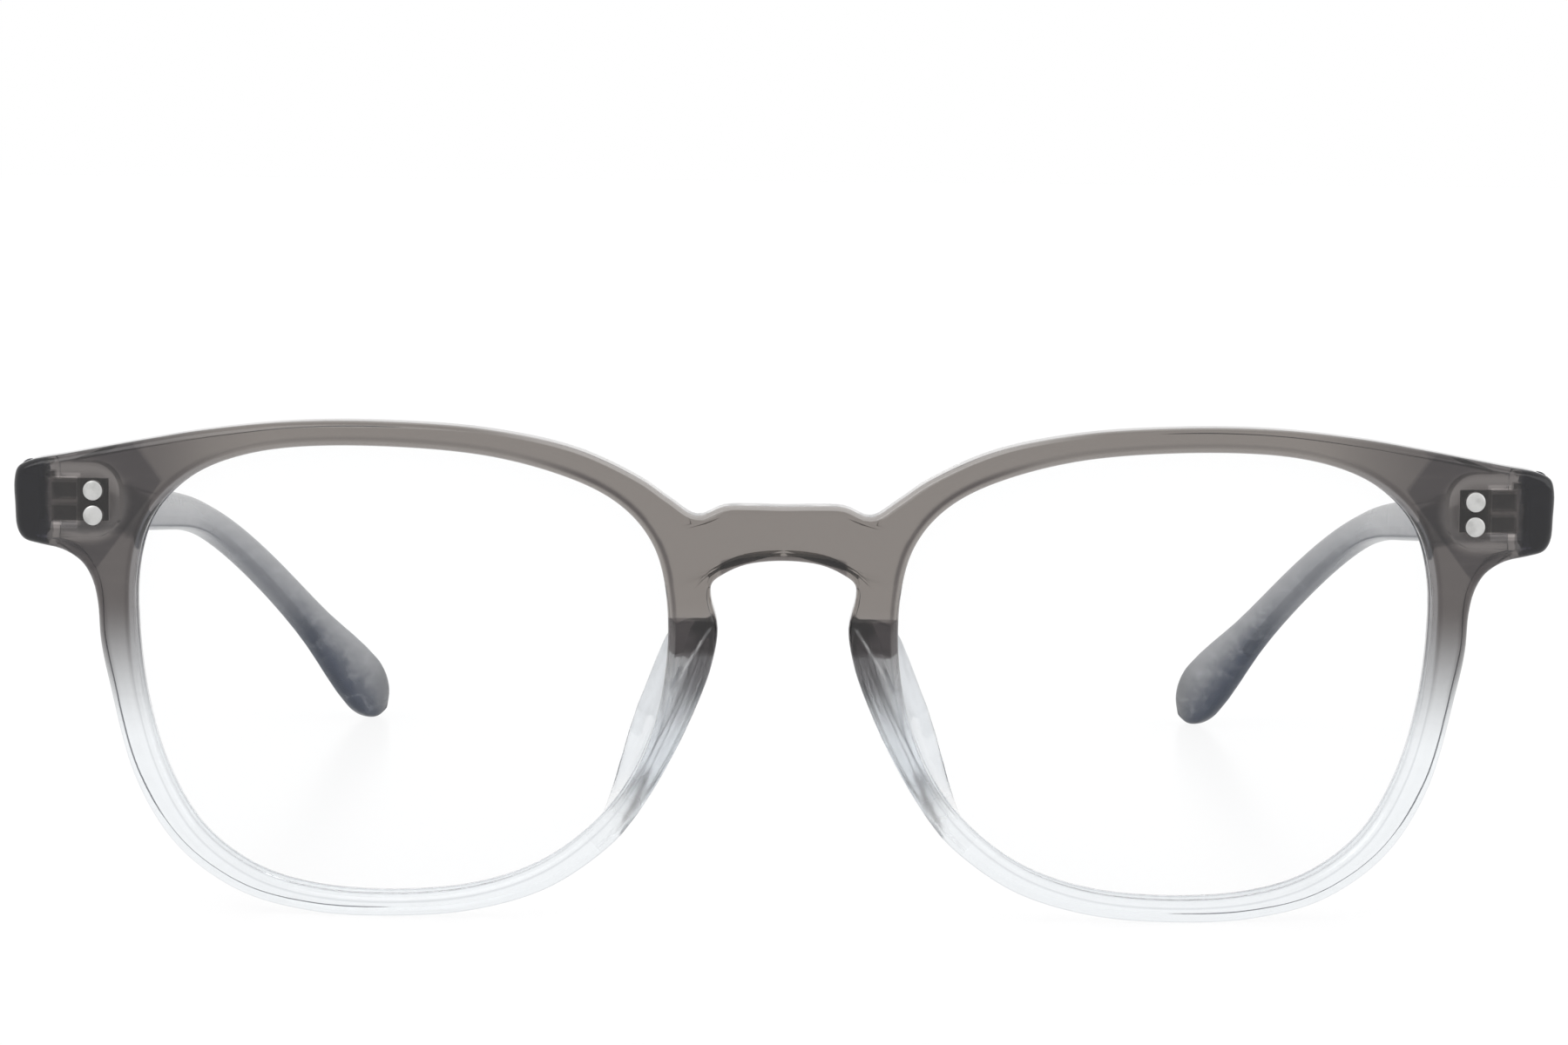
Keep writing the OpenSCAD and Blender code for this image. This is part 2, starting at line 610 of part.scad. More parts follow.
module temple_body() {
    n = len(temple_rings[0]);
    m = wire_points;
    count = len(temple_rings);
    channel = [for (i = [0 : wire_last]) wire_ring(i, wire_d + 4 * seat_gap)];
    base = n * count;
    tip = base + m * len(channel);
    outside = [
        for (i = [0 : count - 2])
            for (k = [0 : n - 1])
                let (a = i * n + k, b = i * n + (k + 1) % n)
                each [[a, b, b + n], [a, b + n, a + n]]];
    inside = [
        for (i = [0 : wire_last - 1])
            for (k = [0 : m - 1])
                let (a = base + i * m + k, b = base + i * m + (k + 1) % m)
                each [[a, b + m, b], [a, a + m, b + m]]];
    ends = [
        for (k = [0 : n - 1]) [(count - 1) * n + k, (count - 1) * n + (k + 1) % n, tip],
        for (k = [0 : m - 1]) [base + wire_last * m + (k + 1) % m, base + wire_last * m + k, tip + 1]];
    face = [
        for (k = [0 : m - 1])
            let (o0 = (2 * k + 1) % n, o1 = (2 * k + 2) % n, o2 = (2 * k + 3) % n,
                i0 = base + k, i1 = base + (k + 1) % m)
            each [[o1, o0, i0], [o1, i0, i1], [o2, o1, i1]]];
    centres = [middle_of(temple_rings[count - 1]), middle_of(channel[wire_last])];
    polyhedron(concat([for (r = temple_rings) each r], [for (r = channel) each r], centres),
        concat(outside, inside, ends, face));
}

temple_leaf_x = temple_x - temple_t / 2 - hinge_x;
module temple_leaf_plate(grow = 0) {
    h = barrel_h - 2 * barrel_clear;
    translate([temple_leaf_x - grow, shoulder_y - grow, -h / 2 - grow])
        cube([leaf_t + grow, temple_leaf_l - shoulder_y - h / 2 + grow, h + 2 * grow]);
    translate([temple_leaf_x - grow, temple_leaf_l - h / 2, 0])
        rotate([0, 90, 0])
            cylinder(d = h + 2 * grow, h = leaf_t + grow);
}
module temple_rivet_bores(radius, length, x) {
    for (k = [0, 1])
        translate([x, temple_rivet_y + k * temple_rivet_pitch, 0])
            rotate([0, 90, 0])
                cylinder(r = radius, h = length);
}

module temple() {
    color(temple_grey)
        difference() {
            temple_body();
            at_hinge() {
                // milled inner side of the end, which clears the boss and the barrels
                translate([temple_leaf_x - over, -butt_l - over, -temple_h])
                    cube([mill_x - temple_leaf_x + over, butt_l + over + shoulder_y, 2 * temple_h]);
                translate([0, 0, -barrel_h / 2 - barrel_clear])
                    cylinder(r = barrel_r + pocket_fit,
                        h = barrel_h + 2 * barrel_clear + seat_gap + screw_head_h);
                temple_leaf_plate(seat_gap);
                temple_rivet_bores(rivet_d / 2 + pin_fit, 2 * temple_t, 0);
                temple_rivet_bores(rivet_head_d / 2 + pin_fit, rivet_head_t + over,
                    temple_outer_x - rivet_head_t);
            }
        }
}

module core_wire() {
    first = len([for (s = temple_stops) if (s < shoulder_y) s]);
    color(steel)
        solid_of_rings([for (i = [first : wire_last - 1]) wire_ring(i, wire_d)]);
}

module temple_hinge() {
    color(steel)
        at_hinge()
            difference() {
                union() {
                    cylinder(r = barrel_r, h = knuckle_h - 2 * pin_fit, center = true);
                    translate([temple_leaf_x, 0, -knuckle_h / 2 + pin_fit])
                        cube([leaf_t, shoulder_y + leaf_t, knuckle_h - 2 * pin_fit]);
                    temple_leaf_plate();
                }
                cylinder(d = screw_d + 2 * pin_fit, h = 2 * barrel_h, center = true);
                temple_rivet_bores(rivet_d / 2 + pin_fit, 2 * leaf_t, temple_leaf_x - leaf_t / 2);
            }
}

module temple_rivet(k) {
    at_hinge()
        translate([temple_outer_x, temple_rivet_y + k * temple_rivet_pitch, 0])
            rotate([0, 0, 90])
                rivet(temple_outer_x - temple_leaf_x);
}

front();
left() lens();  // lens_left
right() lens();  // lens_right
left() nose_pad();  // nose_pad_left
right() nose_pad();  // nose_pad_right
left() front_hinge();  // front_hinge_left
right() front_hinge();  // front_hinge_right
left() front_rivet(1);  // front_rivet_upper_left
left() front_rivet(-1);  // front_rivet_lower_left
right() front_rivet(1);  // front_rivet_upper_right
right() front_rivet(-1);  // front_rivet_lower_right
left() hinge_screw();  // hinge_screw_left
right() hinge_screw();  // hinge_screw_right
left() temple();  // temple_left
right() temple();  // temple_right
left() core_wire();  // core_wire_left
right() core_wire();  // core_wire_right
left() temple_hinge();  // temple_hinge_left
right() temple_hinge();  // temple_hinge_right
left() temple_rivet(0);  // temple_rivet_front_left
left() temple_rivet(1);  // temple_rivet_rear_left
right() temple_rivet(0);  // temple_rivet_front_right
right() temple_rivet(1);  // temple_rivet_rear_right
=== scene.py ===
"""Rectangular acetate eyeglasses with a keyhole bridge, riveted hinges and wired temples.

The front fades from smoke at the brow to clear crystal at the cheeks. Sizes are in millimetres, in the
frame of the CAD model: +Z up, the wearer looks along -Y and the wearer's left is on +X.
"""

import logging
import math
from dataclasses import dataclass, field
from enum import Enum
from typing import Callable, Sequence

import bmesh
import bpy
import numpy as np
from mathutils import Matrix, Vector
from mathutils.kdtree import KDTree


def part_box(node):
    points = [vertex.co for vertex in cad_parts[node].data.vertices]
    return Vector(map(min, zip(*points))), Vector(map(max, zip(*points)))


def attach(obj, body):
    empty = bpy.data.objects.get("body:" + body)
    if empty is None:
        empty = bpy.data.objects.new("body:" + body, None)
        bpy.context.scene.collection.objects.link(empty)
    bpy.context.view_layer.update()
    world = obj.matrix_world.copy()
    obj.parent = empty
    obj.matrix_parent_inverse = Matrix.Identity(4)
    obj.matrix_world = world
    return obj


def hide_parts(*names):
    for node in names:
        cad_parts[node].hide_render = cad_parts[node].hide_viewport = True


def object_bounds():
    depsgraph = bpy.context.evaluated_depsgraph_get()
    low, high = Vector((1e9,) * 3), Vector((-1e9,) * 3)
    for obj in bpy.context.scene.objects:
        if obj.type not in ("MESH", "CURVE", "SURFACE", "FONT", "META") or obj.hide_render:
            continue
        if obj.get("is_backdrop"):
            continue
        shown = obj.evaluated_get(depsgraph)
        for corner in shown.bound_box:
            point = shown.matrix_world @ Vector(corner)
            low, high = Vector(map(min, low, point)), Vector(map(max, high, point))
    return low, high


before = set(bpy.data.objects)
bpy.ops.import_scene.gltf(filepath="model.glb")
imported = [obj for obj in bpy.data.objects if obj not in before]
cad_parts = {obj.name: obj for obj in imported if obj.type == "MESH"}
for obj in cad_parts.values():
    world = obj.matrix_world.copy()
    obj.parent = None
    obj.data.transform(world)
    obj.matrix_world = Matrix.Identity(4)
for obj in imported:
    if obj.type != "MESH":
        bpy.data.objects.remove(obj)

LOG = logging.getLogger("eyeglasses")
MM = 0.001
ACETATE_IOR = 1.49
# Metres within which a loft's end points, and doubles of any mesh, become one point.
LOFT_MERGE = 1e-6
DOUBLE_MERGE = 1e-7
# Squareness of a round section.
ROUND = 2.0
WHITE = (1, 1, 1, 1)
Colour = tuple[float, float, float, float]
Rows = Sequence[tuple[float, float]]
Span = tuple[float, float]
Triple = tuple[float, float, float]


class Side(Enum):
    """The wearer's two sides, with the sign of their X."""

    LEFT = 1
    RIGHT = -1

    @property
    def label(self) -> str:
        """The side's name, as the CAD nodes have it."""
        return self.name.lower()

    @property
    def body(self) -> str:
        """The body that the temple of this side belongs to."""
        return f"temple_{self.label}"


class Slot(Enum):
    """Finishes, with the record's material slot that each belongs to."""

    FRONT = ("front", "front_acetate")
    PAD = ("pad", "front_acetate")
    LENS = ("lens", "lens")
    TEMPLE = ("temple", "temple_acetate")
    HINGE = ("hinge", "hinge_metal")
    RIVET = ("rivet", "rivet_metal")
    SCREW = ("screw", "screw_metal")
    WIRE = ("wire", "wire_metal")

    @property
    def record(self) -> str:
        """The slot's name in the record."""
        return self.value[1]


class Axis(Enum):
    """Direction of a cutting prism, with the order of its outline's axes."""

    X = (1, 2, 0)
    Y = (0, 2, 1)
    Z = (0, 1, 2)


# ---- numbers ----


def smooth(t: float) -> float:
    """Ease from 0 to 1 with flat ends.

    Args:
        t: Place between 0 and 1; values outside are held.

    Returns:
        The eased value.
    """
    c = min(max(t, 0.0), 1.0)
    return c * c * (3 - 2 * c)


def lookup(x: float, rows: Rows) -> float:
    """Value at x of a table of places and values, held beyond its ends."""
    return float(np.interp(x, [r[0] for r in rows], [r[1] for r in rows]))


def unit(v: np.ndarray) -> np.ndarray:
    """The vector's direction, with length 1."""
    return v / np.linalg.norm(v)


def curve(a: np.ndarray, b: np.ndarray, c: np.ndarray, d: np.ndarray, t: float) -> np.ndarray:
    """Point between b and c on a smooth curve through four evenly spaced points.

    Args:
        a: Point before b.
        b: Start of the stretch.
        c: End of the stretch.
        d: Point after c.
        t: Place on the stretch, from 0 to 1.

    Returns:
        The point.
    """
    square = 2 * a - 5 * b + 4 * c - d
    cube = 3 * b - a - 3 * c + d
    return 0.5 * (2 * b + (c - a) * t + square * t * t + cube * t**3)


def even_curve(a: np.ndarray, b: np.ndarray, c: np.ndarray, d: np.ndarray, t: float) -> np.ndarray:
    """The same for unevenly spaced points, without overshoot at the close ones.

    Args:
        a: Point before b.
        b: Start of the stretch.
        c: End of the stretch.
        d: Point after c.
        t: Place on the stretch, from 0 to 1.

    Returns:
        The point.
    """
    k = np.cumsum([0.0] + [math.sqrt(np.linalg.norm(q - p)) for p, q in ((a, b), (b, c), (c, d))])
    s = k[1] + t * (k[2] - k[1])

    def blend(p: np.ndarray, q: np.ndarray, s0: float, s1: float) -> np.ndarray:
        """Straight blend of two points at s between s0 and s1."""
        return ((s1 - s) * p + (s - s0) * q) / (s1 - s0)

    ab, bc, cd = blend(a, b, k[0], k[1]), blend(b, c, k[1], k[2]), blend(c, d, k[2], k[3])
    return blend(blend(ab, bc, k[0], k[2]), blend(bc, cd, k[1], k[3]), k[1], k[2])


# ---- meshes ----


def mesh_object(name: str, points: np.ndarray, faces: Sequence[Sequence[int]]) -> bpy.types.Object:
    """Object from points in millimetres, with its faces turned outwards.

    Args:
        name: Name of the object.
        points: One row per point.
        faces: Point numbers of each face.

    Returns:
        The new object, at the origin.
    """
    mesh = bpy.data.meshes.new(name)
    mesh.from_pydata((np.asarray(points, float) * MM).tolist(), [], [list(f) for f in faces])
    mesh.validate()
    obj = bpy.data.objects.new(name, mesh)
    bpy.context.scene.collection.objects.link(obj)
    turn_out(obj)
    return obj


def turn_out(obj: bpy.types.Object) -> None:
    """Merge doubles, drop loose points and turn all faces outwards.

    Args:
        obj: The object whose mesh is mended.
    """
    work = bmesh.new()
    work.from_mesh(obj.data)
    bmesh.ops.remove_doubles(work, verts=work.verts, dist=DOUBLE_MERGE)
    bmesh.ops.delete(work, geom=[v for v in work.verts if not v.link_faces], context="VERTS")
    bmesh.ops.recalc_face_normals(work, faces=work.faces)
    work.to_mesh(obj.data)
    work.free()


def lofted(name: str, rings: Sequence[np.ndarray]) -> bpy.types.Object:
    """Closed solid through rings that have the same number of points.

    Args:
        name: Name of the object.
        rings: Rings of points, in millimetres, from one end to the other.

    Returns:
        The new object.
    """
    n = len(rings[0])
    faces = [
        [i * n + k, i * n + (k + 1) % n, (i + 1) * n + (k + 1) % n, (i + 1) * n + k]
        for i in range(len(rings) - 1)
        for k in range(n)
    ]
    last = len(rings) * n
    points = np.vstack([*rings, np.mean(rings[0], 0), np.mean(rings[-1], 0)])
    faces += [[k, (k + 1) % n, last] for k in range(n)]
    faces += [[last - n + k, last - n + (k + 1) % n, last + 1] for k in range(n)]
    return mesh_object(name, points, faces)


def prism(outline: Rows, axis: Axis, low: float, high: float) -> bpy.types.Object:
    """Cutting solid of one outline, drawn out along an axis.

    Args:
        outline: Corners of the outline, in millimetres.
        axis: Direction that the outline is drawn out in.
        low: Where the solid starts.
        high: Where it ends.

    Returns:
        The new object.
    """
    n = len(outline)
    points = np.zeros((2 * n, 3))
    for row, level in enumerate((low, high)):
        part = points[row * n : (row + 1) * n]
        part[:, axis.value[0]] = [p[0] for p in outline]
        part[:, axis.value[1]] = [p[1] for p in outline]
        part[:, axis.value[2]] = level
    sides = [[k, (k + 1) % n, n + (k + 1) % n, n + k] for k in range(n)]
    return mesh_object("cutter", points, [*sides, list(range(n)), list(range(n, 2 * n))])


def box_outline(x0: float, x1: float, y0: float, y1: float) -> list[tuple[float, float]]:
    """Corners of a rectangle."""
    return [(x0, y0), (x1, y0), (x1, y1), (x0, y1)]


def circle_outline(x: float, y: float, radius: float, steps: int = 48) -> list[tuple[float, float]]:
    """Corners of a circle round x, y."""
    turn = 2 * math.pi / steps
    return [(x + radius * math.cos(k * turn), y + radius * math.sin(k * turn)) for k in range(steps)]


def evaluated(obj: bpy.types.Object) -> None:
    """Turn what an object's modifiers make into its own plain mesh, and remove them.

    Args:
        obj: The object whose modifiers are applied.
    """
    graph = bpy.context.evaluated_depsgraph_get()
    mesh = bpy.data.meshes.new_from_object(obj.evaluated_get(graph), depsgraph=graph)
    obj.modifiers.clear()
    obj.data = mesh


def combine(obj: bpy.types.Object, others: Sequence[bpy.types.Object], operation: str) -> None:
    """Add other solids to an object or cut them out of it, and delete them.

    Args:
        obj: The object that changes.
        others: Solids to use.
        operation: UNION or DIFFERENCE.
    """
    for other in others:
        step = obj.modifiers.new("combine", "BOOLEAN")
        step.operation = operation
        step.solver = "EXACT"
        step.object = other
    evaluated(obj)
    for other in others:
        bpy.data.objects.remove(other)


def mirrored(obj: bpy.types.Object, name: str) -> bpy.types.Object:
    """Copy of an object on the other side of the glasses.

    Args:
        obj: Object on one side.
        name: Name of the copy.

    Returns:
        The copy, with its faces turned outwards again.
    """
    mesh = obj.data.copy()
    mesh.transform(Matrix.Scale(-1, 4, (1, 0, 0)))
    mesh.flip_normals()
    twin = bpy.data.objects.new(name, mesh)
    bpy.context.scene.collection.objects.link(twin)
    return twin


def polished(obj: bpy.types.Object, sharp_angle: float) -> None:
    """Smooth an object's shading, apart from edges sharper than an angle in degrees."""
    obj.data.shade_smooth()
    obj.data.set_sharp_from_angle(angle=math.radians(sharp_angle))


def levelled(obj: bpy.types.Object) -> None:
    """Let an object's large faces set the shading of the small ones next to them.

    Args:
        obj: The object whose shading is evened.
    """
    step = obj.modifiers.new("level", "WEIGHTED_NORMAL")
    step.keep_sharp = True
    evaluated(obj)


# ---- node trees ----


@dataclass(frozen=True)
class Sig:
    """A socket that takes part in Python expressions."""

    graph: "Graph"
    socket: bpy.types.NodeSocket

    def __add__(self, other: "Value") -> "Sig":
        """This plus other."""
        return self.graph.math("ADD", self, other)

    def __sub__(self, other: "Value") -> "Sig":
        """This minus other."""
        return self.graph.math("SUBTRACT", self, other)

    def __mul__(self, other: "Value") -> "Sig":
        """This times other."""
        return self.graph.math("MULTIPLY", self, other)

    def __truediv__(self, other: "Value") -> "Sig":
        """This over other."""
        return self.graph.math("DIVIDE", self, other)

    def __pow__(self, other: "Value") -> "Sig":
        """This to the power of other."""
        return self.graph.math("POWER", self, other)

    def __rsub__(self, other: "Value") -> "Sig":
        """Other minus this."""
        return self.graph.math("SUBTRACT", other, self)

    def __rtruediv__(self, other: "Value") -> "Sig":
        """Other over this."""
        return self.graph.math("DIVIDE", other, self)

    def __abs__(self) -> "Sig":
        """Size without the sign."""
        return self.graph.math("ABSOLUTE", self)

    __radd__ = __add__
    __rmul__ = __mul__

    def ramp(self, low: float, high: float) -> "Sig":
        """Eased step that is 0 at low and 1 at high; low may be the larger one.

        Args:
            low: Value where the step starts.
            high: Value where it is whole.

        Returns:
            The step, between 0 and 1.
        """
        flat = self.graph.clamp((self - low) / (high - low))
        return flat * flat * (3 - 2 * flat)

    def line(self, middle: float, width: float) -> "Sig":
        """Soft line that is 1 at a value and 0 a width away on both sides."""
        return self.ramp(middle - width, middle) * self.ramp(middle + width, middle)


Value = Sig | float | int | str | bool | Sequence[float] | bpy.types.ID


@dataclass
class Graph:
    """A node tree that nodes are added to."""

    tree: bpy.types.NodeTree

    @staticmethod
    def find(sockets: bpy.types.bpy_prop_collection, key: str | int) -> bpy.types.NodeSocket:
        """Socket by number, identifier or name.

        Args:
            sockets: The inputs or outputs of a node.
            key: Number, identifier or name of the socket.

        Returns:
            The socket.
        """
        if isinstance(key, int):
            return sockets[key]
        return next((s for s in sockets if s.identifier == key), None) or sockets[key]

    def node(
        self,
        kind: str,
        settings: dict[str, object] | None = None,
        inputs: dict[str | int, Value] | None = None,
    ) -> bpy.types.Node:
        """Add a node.

        Args:
            kind: The node's type.
            settings: Properties, which are set first.
            inputs: Values or links of its sockets.

        Returns:
            The node.
        """
        made = self.tree.nodes.new(kind)
        for name, value in (settings or {}).items():
            setattr(made, name, value)
        for key, value in (inputs or {}).items():
            target = self.find(made.inputs, key)
            if isinstance(value, Sig):
                self.tree.links.new(value.socket, target)
            else:
                target.default_value = value
        return made

    def out(self, made: bpy.types.Node, key: str | int = 0) -> Sig:
        """One output of a node, ready for expressions."""
        return Sig(self, self.find(made.outputs, key))

    def math(self, operation: str, *values: Value) -> Sig:
        """Result of one Math node."""
        return self.out(self.node("ShaderNodeMath", {"operation": operation}, dict(enumerate(values))))

    def clamp(self, value: Value) -> Sig:
        """Value held between 0 and 1."""
        return self.out(self.node("ShaderNodeClamp", inputs={"Value": value}))

    def vector(
        self, operation: str, a: Value, b: Value | None = None, scale: Value | None = None
    ) -> Sig:
        """Result of one Vector Math node.

        Args:
            operation: What the node does.
            a: First vector.
            b: Second vector, where there is one.
            scale: Factor, for the operation SCALE.

        Returns:
            The new vector.
        """
        inputs = {0: a}
        if b is not None:
            inputs[1] = b
        if scale is not None:
            inputs["Scale"] = scale
        return self.out(self.node("ShaderNodeVectorMath", {"operation": operation}, inputs))

    def mix(self, factor: Value, a: Value, b: Value, mode: str = "MIX") -> Sig:
        """Blend of two colours.

        Args:
            factor: Share of the second colour.
            a: First colour.
            b: Second colour.
            mode: How they blend.

        Returns:
            The colour.
        """
        settings = {"data_type": "RGBA", "blend_type": mode}
        inputs = {"Factor_Float": factor, "A_Color": a, "B_Color": b}
        made = self.node("ShaderNodeMix", settings, inputs)
        return self.out(made, "Result_Color")

    def place(self) -> tuple[Sig, Sig, Sig, Sig]:
        """Place on the piece: the vector, and its X, Y and Z in millimetres.

        Returns:
            The vector, X, Y and Z.
        """
        coords = self.out(self.node("ShaderNodeTexCoord"), "Object")
        scaled = self.vector("SCALE", coords, scale=1 / MM)
        parts = self.node("ShaderNodeSeparateXYZ", inputs={"Vector": scaled})
        return scaled, self.out(parts, "X"), self.out(parts, "Y"), self.out(parts, "Z")

    def attribute(self, name: str) -> Sig:
        """A number that the mesh carries."""
        return self.out(self.node("ShaderNodeAttribute", {"attribute_name": name}), "Fac")

    def noise(self, where: Value, scale: float, detail: float = 3.0, distortion: float = 0.0) -> Sig:
        """Cloudy pattern.

        Args:
            where: Place on the piece.
            scale: How many clouds to a unit of place.
            detail: Number of finer layers.
            distortion: How much the clouds are drawn out.

        Returns:
            The pattern, around 0.5.
        """
        inputs = {"Vector": where, "Scale": scale, "Detail": detail, "Distortion": distortion}
        return self.out(self.node("ShaderNodeTexNoise", inputs=inputs), "Fac")

    def stretched(self, where: Value, scale: Triple) -> Sig:
        """Place with each axis scaled, for drawn and brushed patterns."""
        return self.vector("MULTIPLY", where, scale)

    def bump(self, height: Sig, strength: float, distance: float) -> Sig:
        """Normal raised by a pattern.

        Args:
            height: The pattern.
            strength: How strongly it shows.
            distance: Height of the pattern, in millimetres.

        Returns:
            The normal.
        """
        inputs = {"Height": height, "Strength": strength, "Distance": distance * MM}
        return self.out(self.node("ShaderNodeBump", inputs=inputs), "Normal")


def shade(name: str, fill: Callable[[Graph], dict[str, Value]], base: Colour) -> bpy.types.Material:
    """Material with one Principled surface.

    Args:
        name: Name of the material.
        fill: Function that draws the patterns and returns the surface's sockets.
        base: Plain colour that stands for the material in the viewport.

    Returns:
        The material.
    """
    material = bpy.data.materials.new(name)
    material.use_nodes = True
    material.diffuse_color = base
    material.node_tree.nodes.clear()
    graph = Graph(material.node_tree)
    surface = graph.node("ShaderNodeBsdfPrincipled", inputs=fill(graph))
    graph.node("ShaderNodeOutputMaterial", inputs={"Surface": graph.out(surface, "BSDF")})
    return material


# ---- finishes ----


@dataclass(frozen=True)
class SheetPlace:
    """Place on the front, in millimetres, in the terms that its painted light, shade and streaks are
    measured by.
    """

    where: Sig
    side: Sig
    z: Sig
    inset: Sig
    outset: Sig


@dataclass(frozen=True)
class BossMarks:
    """Painted light and shade that stand for the boss, hinge leaf and dark temple end seen through an
    endpiece.
    """

    # The light edge and the leaf are painted light, the surround and the bars are painted shade, and the
    # outer block is a painted view of the dark temple end behind the sheet.
    glow: Colour = (0.2, 0.185, 0.18, 1)
    shade: Colour = (0.042, 0.037, 0.04, 1)
    leaf: Colour = (0.36, 0.33, 0.32, 1)
    block: Colour = (0.032, 0.033, 0.062, 1)
    middle_x: float = 63.95
    middle_z: float = 37.65
    diamond_z: float = 39.75
    diamond_slope: float = 0.75
    diamond_end: Span = (7.0, 6.7)
    ring_in: Span = (3.5, 4.2)
    ring_out: Span = (8.6, 6.6)
    ring_share: float = 0.75
    glow_in: Span = (2.3, 2.8)
    glow_out: Span = (3.7, 3.3)
    glow_side: Span = (68.2, 67.6)
    glow_share: float = 0.65
    leaf_in: Span = (64.85, 65.05)
    leaf_out: Span = (68.2, 67.9)
    leaf_rise: Span = (2.5, 2.3)
    bar_in: Span = (64.95, 65.15)
    bar_out: Span = (67.5, 67.3)
    bar_low: Span = (0.2, 0.36)
    bar_high: Span = (1.95, 1.8)
    bar_share: float = 0.7
    block_x: Span = (67.75, 68.1)
    block_wave: float = 0.9
    block_cloud: float = 0.45
    block_share: float = 0.8

    def drawn(self, graph: Graph, colour: Sig, at: SheetPlace) -> Sig:
        """Endpiece with a painted light edge and painted shade round its D-shaped boss, a painted view
        of the hinge leaf with painted shade on its bars, and a painted view of the dark temple end.

        Args:
            graph: The material's tree.
            colour: Colour of the smoke there.
            at: Place on the front.

        Returns:
            The colour with the boss's marks.
        """
        inner = graph.math("MAXIMUM", self.middle_x - at.side, 0.0)
        rise = abs(at.z - self.middle_z)
        away = (inner * inner + rise * rise) ** 0.5
        diamond = (inner + abs(at.z - self.diamond_z) * self.diamond_slope).ramp(*self.diamond_end)
        # Painted shade round the boss.
        ring = away.ramp(*self.ring_in) * away.ramp(*self.ring_out) * diamond
        colour = graph.mix(ring * self.ring_share, colour, self.shade)
        # Painted highlight along the boss's edge.
        glow = away.ramp(*self.glow_in) * away.ramp(*self.glow_out) * at.side.ramp(*self.glow_side)
        colour = graph.mix(glow * self.glow_share, colour, self.glow)
        # Painted view of the hinge leaf behind the sheet, lighter than the smoke.
        leaf = at.side.ramp(*self.leaf_in) * at.side.ramp(*self.leaf_out) * rise.ramp(*self.leaf_rise)
        colour = graph.mix(leaf, colour, self.leaf)
        # Painted shade on the hinge's bars.
        bar_shade = at.side.ramp(*self.bar_in) * at.side.ramp(*self.bar_out)
        bar_shade = bar_shade * rise.ramp(*self.bar_low) * rise.ramp(*self.bar_high)
        colour = graph.mix(bar_shade * self.bar_share, colour, self.shade)
        # Painted view of the dark temple end behind the endpiece.
        wavy = at.side + (graph.noise(at.where, self.block_cloud, 1.0) - 0.5) * self.block_wave
        return graph.mix(wavy.ramp(*self.block_x) * self.block_share, colour, self.block)


@dataclass(frozen=True)
class JointMarks:
    """Painted shade where the top of a nose pad, cemented on behind, shows through the rim; darker
    streaks along the nasal rim; and a painted light line.
    """

    # The first colour is painted shade, the second darkens a band and streaks along the nasal rim, and
    # the third is a painted light line.
    shade: Colour = (0.058, 0.048, 0.049, 1)
    stain: Colour = (0.15, 0.14, 0.145, 1)
    seam: Colour = (0.8, 0.79, 0.78, 1)
    ripple_grain: Triple = (1.0, 1.0, 0.25)
    ripple_scale: float = 1.4
    near: Span = (20.0, 17.5)
    joint_lens: Span = (0.6, 0.8)
    joint_side: Span = (12.0, 11.6)
    joint_low: Span = (24.0, 24.2)
    joint_high: Span = (27.9, 27.7)
    joint_wave: float = 0.8
    stain_low: Span = (16.5, 24.0)
    stain_high: Span = (25.0, 24.4)
    stain_edge: Span = (3.6, 2.2)
    stain_wave: float = 1.6
    stain_share: float = 0.85
    seam_x: float = 6.7
    seam_z: float = 27.0
    seam_slope: float = 0.61
    seam_w: float = 0.24
    seam_low: Span = (19.5, 21.5)
    seam_high: Span = (27.4, 27.0)
    seam_share: float = 0.8
    streak_z: float = 9.0
    streak_slope: float = 0.14
    streak_wave: float = 0.5
    streak_edge: Span = (0.55, 0.42)
    streak_low: Span = (8.0, 9.5)
    streak_high: Span = (14.6, 13.0)
    streak_share: float = 0.6
    thread_edge: Span = (1.9, 0.16)
    thread_low: Span = (9.5, 12.0)
    thread_high: Span = (23.0, 20.0)
    thread_share: float = 0.35

    def drawn(self, graph: Graph, colour: Sig, at: SheetPlace) -> Sig:
        """Nasal rim with the painted shade of its pad, darker streaks and a painted light line.

        Args:
            graph: The material's tree.
            colour: Colour of the sheet there.
            at: Place on the front.

        Returns:
            The colour with the marks.
        """
        z = at.z
        ripple = graph.noise(graph.stretched(at.where, self.ripple_grain), self.ripple_scale, 3.0, 0.3)
        near = at.side.ramp(*self.near)
        # Painted shade band where the pad's top sits behind the rim.
        joint = at.inset.ramp(*self.joint_lens) * at.side.ramp(*self.joint_side)
        joint = joint * (z - ripple * self.joint_wave).ramp(*self.joint_low) * z.ramp(*self.joint_high)
        colour = graph.mix(joint, colour, self.shade)
        # Darker band along the nasal edge, beside the pad.
        stain = z.ramp(*self.stain_low) * z.ramp(*self.stain_high)
        stain = stain * (at.outset + ripple * self.stain_wave).ramp(*self.stain_edge)
        colour = graph.mix(stain * near * self.stain_share, colour, self.stain)
        # Painted light line across the nasal rim.
        seam = (at.side - self.seam_x + (z - self.seam_z) * self.seam_slope).line(0.0, self.seam_w)
        seam = seam * z.ramp(*self.seam_low) * z.ramp(*self.seam_high)
        colour = graph.mix(seam * near * self.seam_share, colour, self.seam)
        # Darker streak and thread along the nasal edge.
        track = at.outset - (z - self.streak_z) * self.streak_slope + (ripple - 0.5) * self.streak_wave
        streak = track.line(*self.streak_edge) * z.ramp(*self.streak_low) * z.ramp(*self.streak_high)
        colour = graph.mix(streak * near * self.streak_share, colour, self.stain)
        thread = at.outset.line(*self.thread_edge) * z.ramp(*self.thread_low) * z.ramp(*self.thread_high)
        return graph.mix(thread * near * self.thread_share, colour, self.stain)


